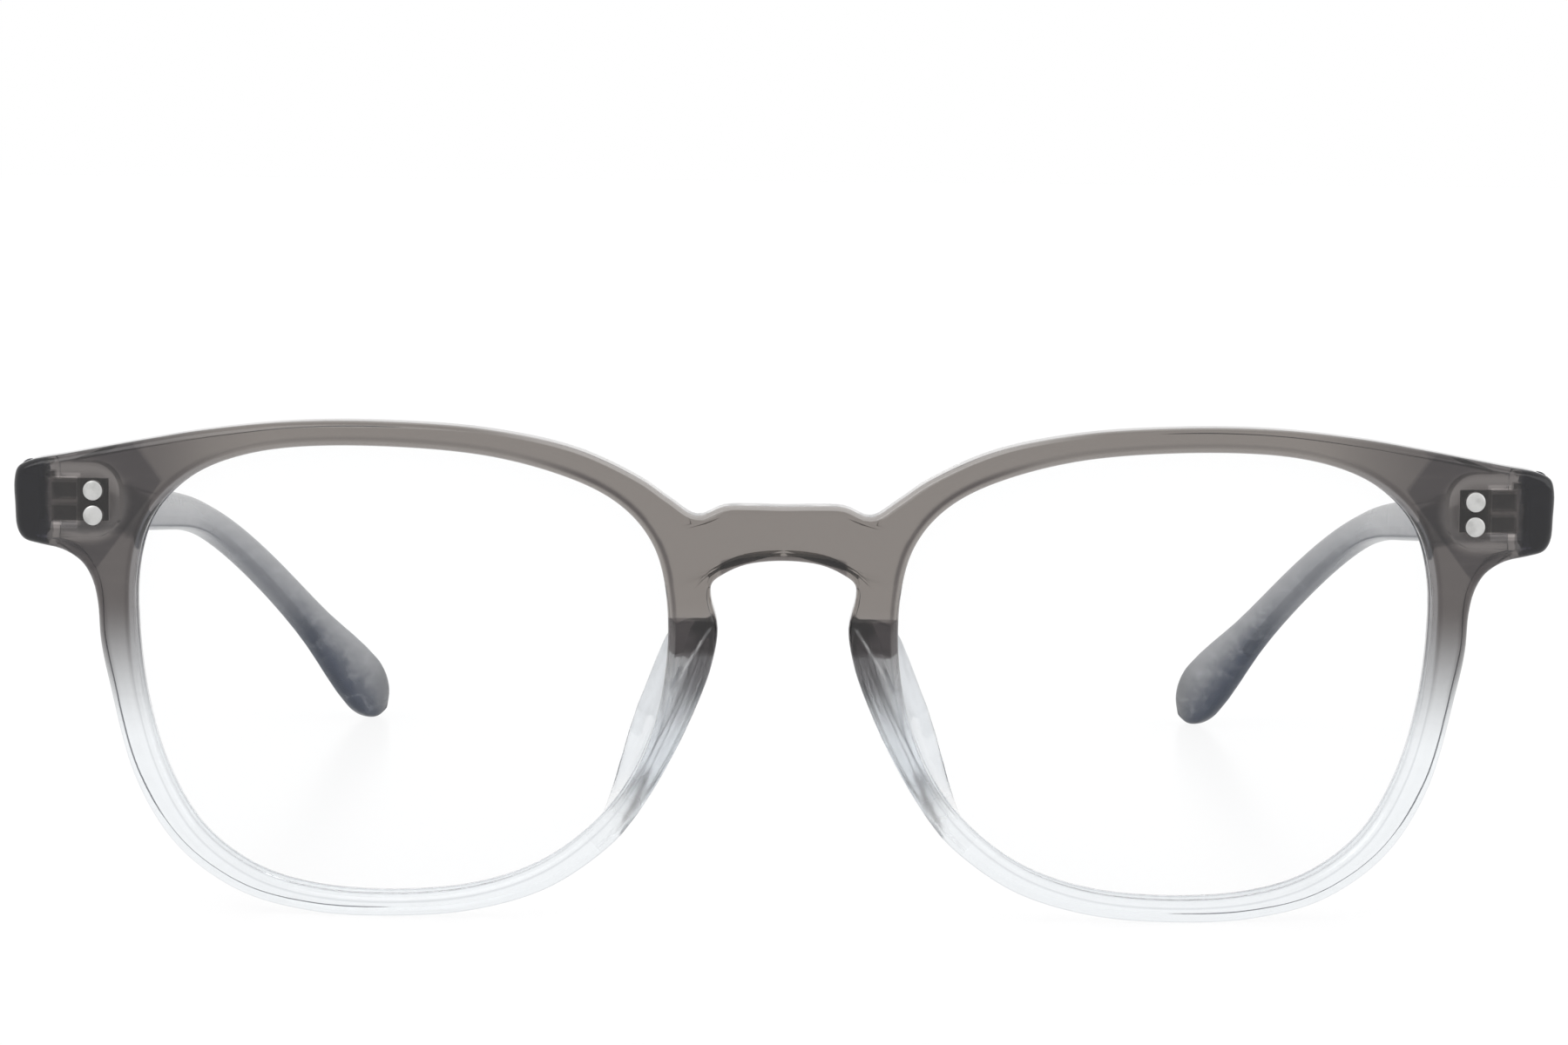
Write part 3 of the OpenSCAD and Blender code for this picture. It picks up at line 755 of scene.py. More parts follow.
@dataclass(frozen=True)
class EdgeMarks:
    """Painted shade lines and painted light along the groove and the polished edges, seen in the rim."""

    # Every colour here is painted: pale and bluish light beside the lens, a highlight on the crown and
    # dark lines of shade.
    pale: Colour = (0.55, 0.54, 0.53, 1)
    line: Colour = (0.4, 0.41, 0.44, 1)
    glow: Colour = (0.6, 0.62, 0.65, 1)
    crown: Colour = (0.8, 0.79, 0.78, 1)
    dark: Colour = (0.058, 0.048, 0.049, 1)
    pale_lens: Span = (0.55, 0.35)
    pale_share: float = 0.3
    groove_lens: Span = (0.72, 0.17)
    groove_share: float = 0.45
    groove_fade: float = 0.15
    nasal_lens: Span = (0.6, 0.34)
    nasal_side: Span = (25.0, 17.0)
    nasal_low: Span = (26.0, 29.0)
    nasal_share: float = 0.9
    beside: Span = (50.0, 57.0)
    beside_dark: Span = (0.85, 0.3)
    beside_glow: Span = (0.6, 0.45)
    beside_share: float = 0.55
    outer_edge: Span = (0.5, 0.4)
    outer_side: Span = (60.0, 61.5)
    outer_high: Span = (34.0, 31.5)
    outer_share: float = 0.85
    clear_edge: Span = (0.25, 0.02)
    clear_lens: Span = (0.16, 0.0)
    clear_share: float = 0.5
    crown_edge: Span = (0.42, 0.3)
    crown_low: Span = (35.5, 37.5)
    crown_side: Span = (30.0, 18.0)
    crown_share: float = 0.8
    under_edge: Span = (0.6, 0.2)
    under_low: Span = (37.5, 39.0)
    under_side: Span = (9.0, 7.0)
    under_share: float = 0.5
    arch_x: float = 6.7
    arch_z: float = 33.3
    arch_drop: float = 1.4
    arch_curl: float = 0.65
    lip_thin: float = 0.8
    lip_end: Span = (0.62, 0.46)
    lip_low: Span = (31.2, 31.7)
    lip_side: Span = (5.9, 5.6)
    lip_share: float = 0.8
    lip_gain: float = 0.15

    def drawn(self, graph: Graph, colour: Sig, at: SheetPlace, fade: Sig) -> Sig:
        """Sheet with the painted shade lines and painted light of all its edges.

        Args:
            graph: The material's tree.
            colour: Colour of the sheet there.
            at: Place on the front.
            fade: Share of smoke.

        Returns:
            The colour with its lines.
        """
        side, z, inset, outset = at.side, at.z, at.inset, at.outset
        # Painted light band beside the lens opening.
        colour = graph.mix(inset.ramp(*self.pale_lens) * fade * self.pale_share, colour, self.pale)
        # Painted shade line where the groove shows through the sheet.
        groove_shade = inset.line(*self.groove_lens) * (self.groove_share - fade * self.groove_fade)
        colour = graph.mix(groove_shade, colour, self.line, "MULTIPLY")
        # Painted shade line along the nasal part of the lens opening.
        nasal = inset.line(*self.nasal_lens) * fade
        nasal = nasal * side.ramp(*self.nasal_side) * z.ramp(*self.nasal_low)
        colour = graph.mix(nasal * self.nasal_share, colour, self.dark)
        # Painted shade line and painted light band beside the outer part of the lens opening.
        beside = fade * side.ramp(*self.beside)
        colour = graph.mix(inset.line(*self.beside_dark) * beside * self.beside_share, colour, self.dark)
        colour = graph.mix(inset.ramp(*self.beside_glow) * beside * self.beside_share, colour, self.glow)
        # Painted shade line along the outer edge of the side rim.
        outer = outset.line(*self.outer_edge) * fade
        outer = outer * side.ramp(*self.outer_side) * z.ramp(*self.outer_high)
        colour = graph.mix(outer * self.outer_share, colour, self.dark)
        # Painted shade along the edges of the clear parts.
        rim_shade = graph.clamp(outset.ramp(*self.clear_edge) + inset.ramp(*self.clear_lens)) * (1 - fade)
        colour = graph.mix(rim_shade * self.clear_share, colour, self.line, "MULTIPLY")
        # Painted highlight on the crown of the brow.
        crown = outset.ramp(*self.crown_edge) * z.ramp(*self.crown_low) * side.ramp(*self.crown_side)
        colour = graph.mix(crown * self.crown_share, colour, self.crown)
        # Painted shade under the top of the bridge.
        under = outset.line(*self.under_edge) * z.ramp(*self.under_low) * side.ramp(*self.under_side)
        colour = graph.mix(under * self.under_share, colour, self.dark)
        # Painted shade along the lip of the nose arch.
        bend = side * side / self.arch_x**2
        above = z - self.arch_z + bend * self.arch_drop + bend * bend * self.arch_curl
        lip = (above - bend * self.lip_thin).ramp(*self.lip_end)
        lip = lip * z.ramp(*self.lip_low) * side.ramp(*self.lip_side)
        return graph.mix(lip * (self.lip_share + bend * self.lip_gain), colour, self.dark)


@dataclass(frozen=True)
class FrontAcetate:
    """Sheet acetate that fades from smoke to crystal, polished in a barrel."""

    smoke: Colour = (0.235, 0.212, 0.196, 1)
    end_smoke: Colour = (0.115, 0.103, 0.1, 1)
    crystal: Colour = (0.92, 0.945, 0.965, 1)
    fade_z: Span = (15.0, 29.0)
    fade_wave: float = 2.4
    end_side: Span = (46.0, 60.0)
    end_wave: float = 5.0
    cloud_scale: float = 0.08
    streak_grain: Triple = (0.5, 1.0, 2.2)
    streak_scale: float = 0.35
    streak_end: Span = (0.52, 0.75)
    streak_share: float = 0.05
    streak_fade: float = 0.09
    smear_scale: float = 0.7
    wave_scale: float = 0.22
    wave_h: float = 0.25
    wave_share: float = 0.12
    gloss: float = 0.035
    smear_gloss: float = 0.05
    boss: BossMarks = BossMarks()
    joint: JointMarks = JointMarks()
    edge: EdgeMarks = EdgeMarks()

    def sockets(self, graph: Graph) -> dict[str, Value]:
        """Sockets of the surface.

        Args:
            graph: The material's tree.

        Returns:
            The sockets that differ from the plain surface.
        """
        where, x, _, z = graph.place()
        inset, outset = graph.attribute("lens_distance"), graph.attribute("edge_distance")
        at = SheetPlace(where, abs(x), z, inset, outset)
        clouds = graph.noise(where, self.cloud_scale, 2.0, 0.4)
        fade = (z + (clouds - 0.5) * self.fade_wave).ramp(*self.fade_z)
        outer = (at.side + (clouds - 0.5) * self.end_wave).ramp(*self.end_side)
        # Painted light and shade of the boss, the pad and the edges go over the smoke and crystal.
        smoke = self.boss.drawn(graph, graph.mix(outer, self.smoke, self.end_smoke), at)
        colour = graph.mix(fade, self.crystal, smoke)
        colour = self.joint.drawn(graph, colour, at)
        colour = self.edge.drawn(graph, colour, at, fade)
        streaks = graph.noise(graph.stretched(where, self.streak_grain), self.streak_scale, 4.0, 0.8)
        share = streaks.ramp(*self.streak_end) * (self.streak_share + fade * self.streak_fade)
        colour = graph.mix(share, colour, self.smoke)
        smears = graph.noise(where, self.smear_scale, 4.0)
        waves = graph.noise(where, self.wave_scale, 2.0)
        return {
            "Base Color": colour,
            "Roughness": self.gloss + smears * self.smear_gloss,
            "Normal": graph.bump(waves, self.wave_share, self.wave_h),
            "IOR": ACETATE_IOR,
            "Transmission Weight": 0.94,
            "Specular IOR Level": 0.3,
        }

    def material(self) -> bpy.types.Material:
        """The finished material."""
        return shade("front_acetate", self.sockets, self.smoke)


@dataclass(frozen=True)
class PadAcetate:
    """Crystal acetate of the nose pads, with a faint cloud, a greyer base and a thin, paler end."""

    clear: Colour = (0.86, 0.885, 0.91, 1)
    base: Colour = (0.62, 0.63, 0.65, 1)
    end: Colour = (0.97, 0.98, 0.99, 1)
    cloud_grain: Triple = (1.0, 1.0, 0.4)
    cloud_scale: float = 0.5
    cloud_end: Span = (0.45, 0.75)
    cloud_low: Span = (7.0, 14.0)
    cloud_share: float = 0.4
    base_z: Span = (20.0, 27.5)
    base_share: float = 0.6
    end_z: Span = (14.0, 8.0)
    frost_z: Span = (14.0, 9.0)
    frost: float = 0.3
    thin_z: Span = (13.5, 8.0)
    thin_share: float = 0.93
    smear_scale: float = 0.9
    gloss: float = 0.05
    smear_gloss: float = 0.07

    def sockets(self, graph: Graph) -> dict[str, Value]:
        """Sockets of the surface.

        Args:
            graph: The material's tree.

        Returns:
            The sockets that differ from the plain surface.
        """
        where, _, _, z = graph.place()
        clouds = graph.noise(graph.stretched(where, self.cloud_grain), self.cloud_scale, 3.0, 0.6)
        cloudy = clouds.ramp(*self.cloud_end) * self.cloud_share * z.ramp(*self.cloud_low)
        share = graph.clamp(z.ramp(*self.base_z) * self.base_share + cloudy)
        smears = graph.noise(where, self.smear_scale, 4.0)
        colour = graph.mix(share, self.clear, self.base)
        return {
            "Base Color": graph.mix(z.ramp(*self.end_z), colour, self.end),
            "Roughness": self.gloss + smears * self.smear_gloss + z.ramp(*self.frost_z) * self.frost,
            "Alpha": 1 - z.ramp(*self.thin_z) * self.thin_share,
            "Normal": graph.bump(graph.noise(where, 0.2, 1.0), 0.08, 0.2),
            "IOR": ACETATE_IOR,
            "Transmission Weight": 0.92,
        }

    def material(self) -> bpy.types.Material:
        """The finished material."""
        return shade("pad_acetate", self.sockets, self.clear)


@dataclass(frozen=True)
class TempleAcetate:
    """Grey acetate of the temples, with painted shade that makes the lower side darker and bluer, most
    of all on the paddles.
    """

    near: Colour = (0.56, 0.59, 0.64, 1)
    near_low: Colour = (0.42, 0.46, 0.53, 1)
    middle: Colour = (0.47, 0.475, 0.485, 1)
    middle_low: Colour = (0.25, 0.26, 0.29, 1)
    paddle: Colour = (0.46, 0.465, 0.48, 1)
    paddle_low: Colour = (0.02, 0.032, 0.07, 1)
    tip: Colour = (0.06, 0.062, 0.068, 1)
    butt: Colour = (0.15, 0.155, 0.18, 1)
    middle_y: Span = (-50.0, 10.0)
    paddle_y: Span = (25.0, 60.0)
    paddle_low_y: Span = (50.0, 58.0)
    tip_y: Span = (65.5, 69.5)
    tip_share: float = 0.7
    butt_y: Span = (-55.0, -57.0)
    streak_grain: Triple = (1.0, 0.1, 1.0)
    streak_scale: float = 0.8
    streak_end: Span = (0.5, 0.8)
    streak_share: float = 0.2
    side_wave: float = 0.9
    side_end: Span = (-0.9, 0.9)
    gloss: float = 0.16
    smear_gloss: float = 0.08

    def sockets(self, graph: Graph) -> dict[str, Value]:
        """Sockets of the surface.

        Args:
            graph: The material's tree.

        Returns:
            The sockets that differ from the plain surface.
        """
        where, _, y, _ = graph.place()
        streaks = graph.noise(graph.stretched(where, self.streak_grain), self.streak_scale, 4.0, 0.4)
        # Painted shade: the lower side of each section is darker and bluer than the upper side.
        height = (graph.attribute("up_side") + (streaks - 0.5) * self.side_wave).ramp(*self.side_end)
        high = graph.mix(y.ramp(*self.middle_y), self.near, self.middle)
        high = graph.mix(y.ramp(*self.paddle_y), high, self.paddle)
        low = graph.mix(y.ramp(*self.middle_y), self.near_low, self.middle_low)
        low = graph.mix(y.ramp(*self.paddle_low_y), low, self.paddle_low)
        colour = graph.mix(height, low, high)
        colour = graph.mix(y.ramp(*self.tip_y) * self.tip_share, colour, self.tip)
        colour = graph.mix(y.ramp(*self.butt_y), colour, self.butt)
        colour = graph.mix(streaks.ramp(*self.streak_end) * self.streak_share, colour, self.near)
        smears = graph.noise(where, 0.6, 4.0)
        waves = graph.noise(where, 0.2, 2.0)
        return {
            "Base Color": colour,
            "Roughness": self.gloss + smears * self.smear_gloss,
            "Normal": graph.bump(waves, 0.1, 0.25),
            "IOR": ACETATE_IOR,
            "Specular IOR Level": 0.3,
            "Transmission Weight": 0.45,
        }

    def material(self) -> bpy.types.Material:
        """The finished material."""
        return shade("temple_acetate", self.sockets, self.middle)


@dataclass(frozen=True)
class LensPlastic:
    """Clear, coated lens plastic with a frosted bevel."""

    clear: Colour = (0.86, 0.92, 0.97, 1)
    bevel: Colour = (0.8, 0.84, 0.88, 1)
    bevel_w: float = 0.5
    wipe_grain: Triple = (0.3, 1.0, 0.06)
    wipe_end: Span = (0.45, 0.8)
    wipe_gloss: float = 0.02
    gloss: float = 0.015
    frost: float = 0.4
    body: float = 0.025
    bevel_body: float = 0.3

    def sockets(self, graph: Graph) -> dict[str, Value]:
        """Sockets of the surface.

        Args:
            graph: The material's tree.

        Returns:
            The sockets that differ from the plain surface.
        """
        where, _, _, _ = graph.place()
        bevel = graph.attribute("bevel_distance").ramp(self.bevel_w, 0.0)
        wipes = graph.noise(graph.stretched(where, self.wipe_grain), 0.8, 3.0, 0.6)
        return {
            "Base Color": graph.mix(bevel, self.clear, self.bevel),
            "Roughness": self.gloss + wipes.ramp(*self.wipe_end) * self.wipe_gloss + bevel * self.frost,
            "Alpha": self.body + bevel * self.bevel_body,
            "IOR": 1.5,
            "Coat IOR": 1.38,
            "Coat Weight": 0.3,
        }

    def material(self) -> bpy.types.Material:
        """The finished material."""
        return shade("lens_plastic", self.sockets, self.clear)


@dataclass(frozen=True)
class Nickel:
    """Nickel silver or steel, with the marks of how the piece was made."""

    name: str
    bright: Colour
    dull: Colour
    grain: Triple
    roughness: float
    marks: float
    stain_end: Span = (0.42, 0.72)
    grain_end: Span = (0.4, 0.7)
    grain_share: float = 0.35
    grain_gloss: float = 0.16

    def sockets(self, graph: Graph) -> dict[str, Value]:
        """Sockets of the surface.

        Args:
            graph: The material's tree.

        Returns:
            The sockets that differ from the plain surface.
        """
        where, _, _, _ = graph.place()
        lines = graph.noise(graph.stretched(where, self.grain), 1.0, 5.0)
        stains = graph.noise(where, 1.1, 3.0)
        colour = graph.mix(stains.ramp(*self.stain_end), self.bright, self.dull)
        return {
            "Base Color": graph.mix(lines.ramp(*self.grain_end) * self.grain_share, colour, self.dull),
            "Metallic": 1.0,
            "Roughness": self.roughness + lines * self.grain_gloss,
            "Normal": graph.bump(lines, self.marks, 0.02),
        }

    def material(self) -> bpy.types.Material:
        """The finished material."""
        return shade(self.name, self.sockets, self.bright)


METALS = {
    Slot.HINGE: Nickel(
        "hinge_nickel", bright=(0.66, 0.66, 0.64, 1), dull=(0.42, 0.42, 0.42, 1),
        grain=(1.0, 1.0, 9.0), roughness=0.36, marks=0.4),
    Slot.RIVET: Nickel(
        "rivet_nickel", bright=(0.61, 0.61, 0.6, 1), dull=(0.48, 0.48, 0.47, 1),
        grain=(1.2, 1.2, 1.2), roughness=0.28, marks=0.08),
    Slot.SCREW: Nickel(
        "screw_nickel", bright=(0.7, 0.7, 0.69, 1), dull=(0.42, 0.42, 0.42, 1),
        grain=(2.0, 9.0, 2.0), roughness=0.2, marks=0.4),
    Slot.WIRE: Nickel(
        "wire_steel", bright=(0.42, 0.43, 0.45, 1), dull=(0.2, 0.2, 0.22, 1),
        grain=(7.0, 0.3, 7.0), roughness=0.24, marks=0.5),
}


@dataclass
class Finishes:
    """The finish of each material slot."""

    made: dict[Slot, bpy.types.Material] = field(default_factory=dict)

    def build(self) -> None:
        """Make every finish once."""
        plastics = {
            Slot.FRONT: FrontAcetate(),
            Slot.PAD: PadAcetate(),
            Slot.TEMPLE: TempleAcetate(),
            Slot.LENS: LensPlastic(),
        }
        self.made = {slot: finish.material() for slot, finish in (plastics | METALS).items()}

    def dress(self, obj: bpy.types.Object, slot: Slot) -> None:
        """Give a new piece the finish of a slot.

        Args:
            obj: The new piece.
            slot: Slot whose finish it gets.
        """
        obj.data.materials.clear()
        obj.data.materials.append(self.made[slot])
        slot.record

    def dress_node(self, node: str, slot: Slot) -> None:
        """Give a carried-over CAD node the finish of a slot.

        Args:
            node: Name of the CAD node.
            slot: Slot whose finish it gets.
        """
        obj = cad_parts[node]
        for number in range(len(obj.material_slots)):
            obj.material_slots[number].material = self.made[slot]


# ---- geometry nodes ----


@dataclass
class Modifier:
    """A Geometry Nodes tree with named inputs."""

    name: str
    inputs: dict[str, str]
    graph: Graph = field(init=False)
    entry: bpy.types.Node = field(init=False)
    keys: dict[str, str] = field(init=False, default_factory=dict)

    def __post_init__(self) -> None:
        """Make the empty tree and its sockets."""
        tree = bpy.data.node_groups.new(self.name, "GeometryNodeTree")
        tree.interface.new_socket("Geometry", in_out="INPUT", socket_type="NodeSocketGeometry")
        tree.interface.new_socket("Geometry", in_out="OUTPUT", socket_type="NodeSocketGeometry")
        for label, kind in self.inputs.items():
            made = tree.interface.new_socket(label, in_out="INPUT", socket_type=kind)
            self.keys[label] = made.identifier
        self.graph = Graph(tree)
        self.entry = self.graph.node("NodeGroupInput")

    def given(self, label: str) -> Sig:
        """One of the tree's inputs."""
        return self.graph.out(self.entry, label)

    def carried(self, name: str) -> Sig:
        """A vector that the mesh's points carry.

        Args:
            name: Name that the points carry it by.

        Returns:
            The vector.
        """
        settings = {"data_type": "FLOAT_VECTOR"}
        made = self.graph.node("GeometryNodeInputNamedAttribute", settings, {"Name": name})
        return self.graph.out(made, "Attribute")

    def close(self, geometry: Sig) -> None:
        """End the tree in plain meshes with their material.

        Args:
            geometry: What the tree has made.
        """
        real = self.graph.out(self.graph.node("GeometryNodeRealizeInstances", inputs={0: geometry}))
        inputs = {"Geometry": real, "Material": self.given("Material")}
        done = self.graph.out(self.graph.node("GeometryNodeSetMaterial", inputs=inputs))
        self.graph.node("NodeGroupOutput", inputs={0: done})

    def run(self, obj: bpy.types.Object, values: dict[str, Value]) -> None:
        """Run the tree on an object and keep the result as its plain mesh.

        Args:
            obj: Object whose mesh the tree starts from.
            values: Value of each named input.
        """
        step = obj.modifiers.new(self.name, "NODES")
        step.node_group = self.graph.tree
        for label, value in values.items():
            step[self.keys[label]] = value
        evaluated(obj)
        turn_out(obj)


class LoftTree(Modifier):
    """Solid along a path: each path point carries the section's two directions and half sizes."""

    def __init__(self) -> None:
        """Build the tree."""
        super().__init__("loft_along_path", {
            "Around": "NodeSocketInt",
            "Squareness": "NodeSocketFloat",
            "Material": "NodeSocketMaterial",
        })
        graph, path = self.graph, self.given("Geometry")
        around = self.given("Around")
        sized = graph.node("GeometryNodeAttributeDomainSize", inputs={"Geometry": path})
        count = graph.out(sized, "Point Count")
        columns = around + 1
        sizes = {"Size X": 1.0, "Size Y": 1.0, "Vertices X": count, "Vertices Y": columns}
        grid = graph.out(graph.node("GeometryNodeMeshGrid", inputs=sizes), "Mesh")
        index = graph.out(graph.node("GeometryNodeInputIndex"))
        station = graph.math("FLOOR", (index + 0.5) / columns)
        turn = (index - station * columns) / around * (2 * math.pi)
        power = 2.0 / self.given("Squareness")
        sides = []
        for operation in ("COSINE", "SINE"):
            value = graph.math(operation, turn)
            sides.append(graph.math("SIGN", value) * abs(value) ** power)
        half = graph.node("ShaderNodeSeparateXYZ", inputs={0: self.sampled(path, station, "half")})
        across, up = (
            graph.vector("SCALE", self.sampled(path, station, name), scale=side * graph.out(half, axis))
            for name, side, axis in (("across", sides[0], "X"), ("up", sides[1], "Y"))
        )
        spot = graph.vector("ADD", graph.vector("ADD", self.sampled(path, station, None), across), up)
        inputs = {"Geometry": grid, "Position": spot}
        shaped = graph.out(graph.node("GeometryNodeSetPosition", inputs=inputs))
        for label, value in (("out_side", sides[0]), ("up_side", sides[1])):
            inputs = {"Geometry": shaped, "Name": label, "Value": value}
            settings = {"data_type": "FLOAT", "domain": "POINT"}
            shaped = graph.out(graph.node("GeometryNodeStoreNamedAttribute", settings, inputs))
        inputs = {"Geometry": shaped, "Distance": LOFT_MERGE}
        self.close(graph.out(graph.node("GeometryNodeMergeByDistance", inputs=inputs)))

    def sampled(self, path: Sig, station: Sig, name: str | None) -> Sig:
        """A vector of the path at a station: one that it carries by name, or its position.

        Args:
            path: The path.
            station: Number of the path's point.
            name: Name of the carried vector, or None for the position.

        Returns:
            The vector.
        """
        graph = self.graph
        if name is None:
            value = graph.out(graph.node("GeometryNodeInputPosition"))
        else:
            value = self.carried(name)
        inputs = {"Geometry": path, "Value": value, "Index": station}
        settings = {"data_type": "FLOAT_VECTOR", "domain": "POINT"}
        return graph.out(graph.node("GeometryNodeSampleIndex", settings, inputs), "Value")


class RepeatTree(Modifier):
    """One small piece at each point, turned to the direction that the point carries."""

    def __init__(self) -> None:
        """Build the tree."""
        kinds = {"Piece": "NodeSocketObject", "Material": "NodeSocketMaterial"}
        super().__init__("repeat_at_points", kinds)
        graph = self.graph
        info = graph.node("GeometryNodeObjectInfo", inputs={"Object": self.given("Piece")})
        piece = graph.out(info, "Geometry")
        aim = {"Vector": self.carried("aim")}
        turn = graph.node("FunctionNodeAlignRotationToVector", {"axis": "Z"}, aim)
        inputs = {"Points": self.given("Geometry"), "Instance": piece, "Rotation": graph.out(turn)}
        self.close(graph.out(graph.node("GeometryNodeInstanceOnPoints", inputs=inputs)))


@dataclass
class Trees:
    """The Geometry Nodes trees that the pieces share."""

    loft: LoftTree = field(default_factory=LoftTree)
    repeat: RepeatTree = field(default_factory=RepeatTree)


def carrier(name: str, points: np.ndarray, **vectors: np.ndarray) -> bpy.types.Object:
    """Object of loose points that carry vectors, for a Geometry Nodes tree to start from.

    Args:
        name: Name of the object.
        points: One row per point, in millimetres.
        **vectors: Named vectors, one row per point.

    Returns:
        The new object.
    """
    mesh = bpy.data.meshes.new(name)
    mesh.from_pydata((np.asarray(points, float) * MM).tolist(), [], [])
    for label, rows in vectors.items():
        made = mesh.attributes.new(label, "FLOAT_VECTOR", "POINT")
        made.data.foreach_set("vector", np.asarray(rows, np.float32).ravel())
    obj = bpy.data.objects.new(name, mesh)
    bpy.context.scene.collection.objects.link(obj)
    return obj


# ---- the pieces ----


@dataclass(frozen=True)
class HingeSizes:
    """Sizes of the hinge and its rivets, seen from the hinge axis."""

    inset: float = 3.25
    barrel_r: float = 1.25
    barrel_h: float = 3.9
    leaf_t: float = 1.0
    front_leaf_l: float = 5.5
    temple_leaf_l: float = 10.0
    rivet_d: float = 1.1
    rivet_head_d: float = 1.85
    rivet_head_t: float = 0.7
    rivet_dome: float = 0.3
    rivet_pitch: float = 2.3
    front_rivet_x: float = 4.3
    temple_rivet_y: float = 4.2
    temple_rivet_pitch: float = 3.6
    pin_fit: float = 0.04
    seat_gap: float = 0.05
    pocket_fit: float = 0.1
    barrel_clear: float = 0.2
    mill_x: float = 1.0
    screw_room: float = 0.6


@dataclass
class FrontShape:
    """Curves of the front: the lens opening, the outer edge and the sections between them."""

    lens_w: float = 50.1
    lens_h: float = 42.3
    lens_t: float = 1.5
    lens_curve_r: float = 180.0
    groove_d: float = 0.55
    lens_set: float = 0.76
    bridge_w: float = 20.0
    bridge_z: float = 38.3
    bridge_h: float = 5.0
    arch_w: float = 13.4
    sheet_t: float = 4.0
    face_curve_r: float = 380.0
    edge_r: float = 0.8
    rim_top_w: float = 2.3
    rim_side_w: float = 3.05
    rim_bottom_w: float = 2.1
    rim_nose_w: float = 2.9
    endpiece_w: float = 10.95
    endpiece_h: float = 7.6
    endpiece_t: float = 3.6
    boss_l: float = 7.35
    boss_h: float = 7.0
    boss_rise: float = 1.3
    boss_end_x: float = 0.75
    boss_round: float = 2.6
    hinge_z: float = 37.65
    temple_proud: float = 0.15
    temple_t: float = 3.6
    hinge: HingeSizes = HingeSizes()
    opening_shape: tuple[tuple[float, float], ...] = (
        (0.05, 1), (0.4, 0.99), (0.645, 0.932), (0.82, 0.825), (0.94, 0.665), (0.995, 0.45),
        (1, 0.185), (0.965, -0.15), (0.888, -0.46), (0.757, -0.722), (0.563, -0.896), (0.328, -0.98),
        (0.036, -0.9985), (-0.267, -0.962), (-0.521, -0.857), (-0.723, -0.68), (-0.863, -0.465),
        (-0.955, -0.21), (-0.998, 0.07), (-0.996, 0.35), (-0.945, 0.58), (-0.821, 0.755),
        (-0.621, 0.876), (-0.32, 0.966),
    )

    def __post_init__(self) -> None:
        """Work out the values that follow from the sizes."""
        hinge = self.hinge
        self.half_open = np.array([self.lens_w / 2 - self.groove_d, self.lens_h / 2 - self.groove_d])
        centre_x = (self.bridge_w + self.lens_w) / 2
        self.centre = np.array([centre_x, self.half_open[1] + self.rim_bottom_w])
        self.end_x = self.bridge_w / 2 + self.lens_w + self.endpiece_w
        self.hinge_x = self.end_x - hinge.inset
        self.seat_y = self.sag(self.end_x) + self.endpiece_t
        self.boss_y = self.seat_y + self.boss_rise
        self.axis_y = self.boss_y + hinge.barrel_r - hinge.leaf_t / 3
        self.temple_x = self.end_x + self.temple_proud - self.temple_t / 2
        self.leaf_y = self.boss_y - hinge.leaf_t - self.axis_y
        self.rivet_face_y = self.sag(self.hinge_x - hinge.front_rivet_x) - self.axis_y
        self.points = [np.array(p, float) for p in self.opening_shape]
        low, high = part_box("hinge_screw_left")
        self.back = self.axis_y - (low.y + high.y) / 2 / MM

    def sag(self, x: float) -> float:
        """Setback of the curved face at a distance x from the bridge's middle."""
        return self.face_curve_r - math.sqrt(self.face_curve_r**2 - x * x)

    def opening(self, s: float) -> np.ndarray:
        """Point of the lens opening's edge at a place on its curve.

        Args:
            s: Place on the opening's curve, where each whole number is one of its points.

        Returns:
            The point as X and Z, in millimetres.
        """
        n, k = len(self.points), math.floor(s)
        near = [self.points[(k + i) % n] for i in (-1, 0, 1, 2)]
        return self.centre + curve(*near, s - k) * self.half_open

    def rim_way(self, s: float) -> np.ndarray:
        """Direction out of the opening, into the rim."""
        t = self.opening(s + 0.05) - self.opening(s - 0.05)
        return unit(np.array([-t[1], t[0]]))

    def lens_depth(self, p: np.ndarray) -> float:
        """Depth of the lens's middle behind the face, which follows the lens curve."""
        side = (p[0] - self.centre[0]) ** 2 * (1 / self.lens_curve_r - 1 / self.face_curve_r) / 2
        return self.lens_set + side + (p[1] - self.centre[1]) ** 2 / self.lens_curve_r / 2

    def on_face(self, p: np.ndarray, depth: float) -> list[float]:
        """Point at a depth behind the face."""
        return [p[0], self.sag(p[0]) + depth - self.back, p[1]]

    @property
    def brow_widths(self) -> Rows:
        """Rim widths over the lens, by place on the opening's curve."""
        shares = ((-3.5, 1.55), (-3, 1.33), (-2, 1.2), (-1, 1.05), (0, 1), (1, 1.03))
        return [(s, f * self.rim_top_w) for s, f in shares]

    @property
    def cheek_widths(self) -> Rows:
        """Rim widths beside and under the lens.

        Returns:
            Pairs of a place on the opening's curve and a width in millimetres.
        """
        side = ((6.2, 1.14), (6.7, 1.03), (8, 1), (9, 0.93), (10, 0.83))
        under = ((11, 1.06), (12, 1), (13, 1.02), (14, 1.1))
        nose = ((15, 0.84), (15.5, 0.82), (16, 0.815), (16.5, 0.87), (17, 1), (17.6, 1.25),
                (18, 1.43), (18.5, 1.56))
        return [
            *[(s, f * self.rim_side_w) for s, f in side],
            *[(s, f * self.rim_bottom_w) for s, f in under],
            *[(s, f * self.rim_nose_w) for s, f in nose],
        ]

    def rim_edge(self, s: float, width: float) -> np.ndarray:
        """Outer edge of a rim of some width at a place on the opening's curve."""
        return self.opening(s) + width * self.rim_way(s)

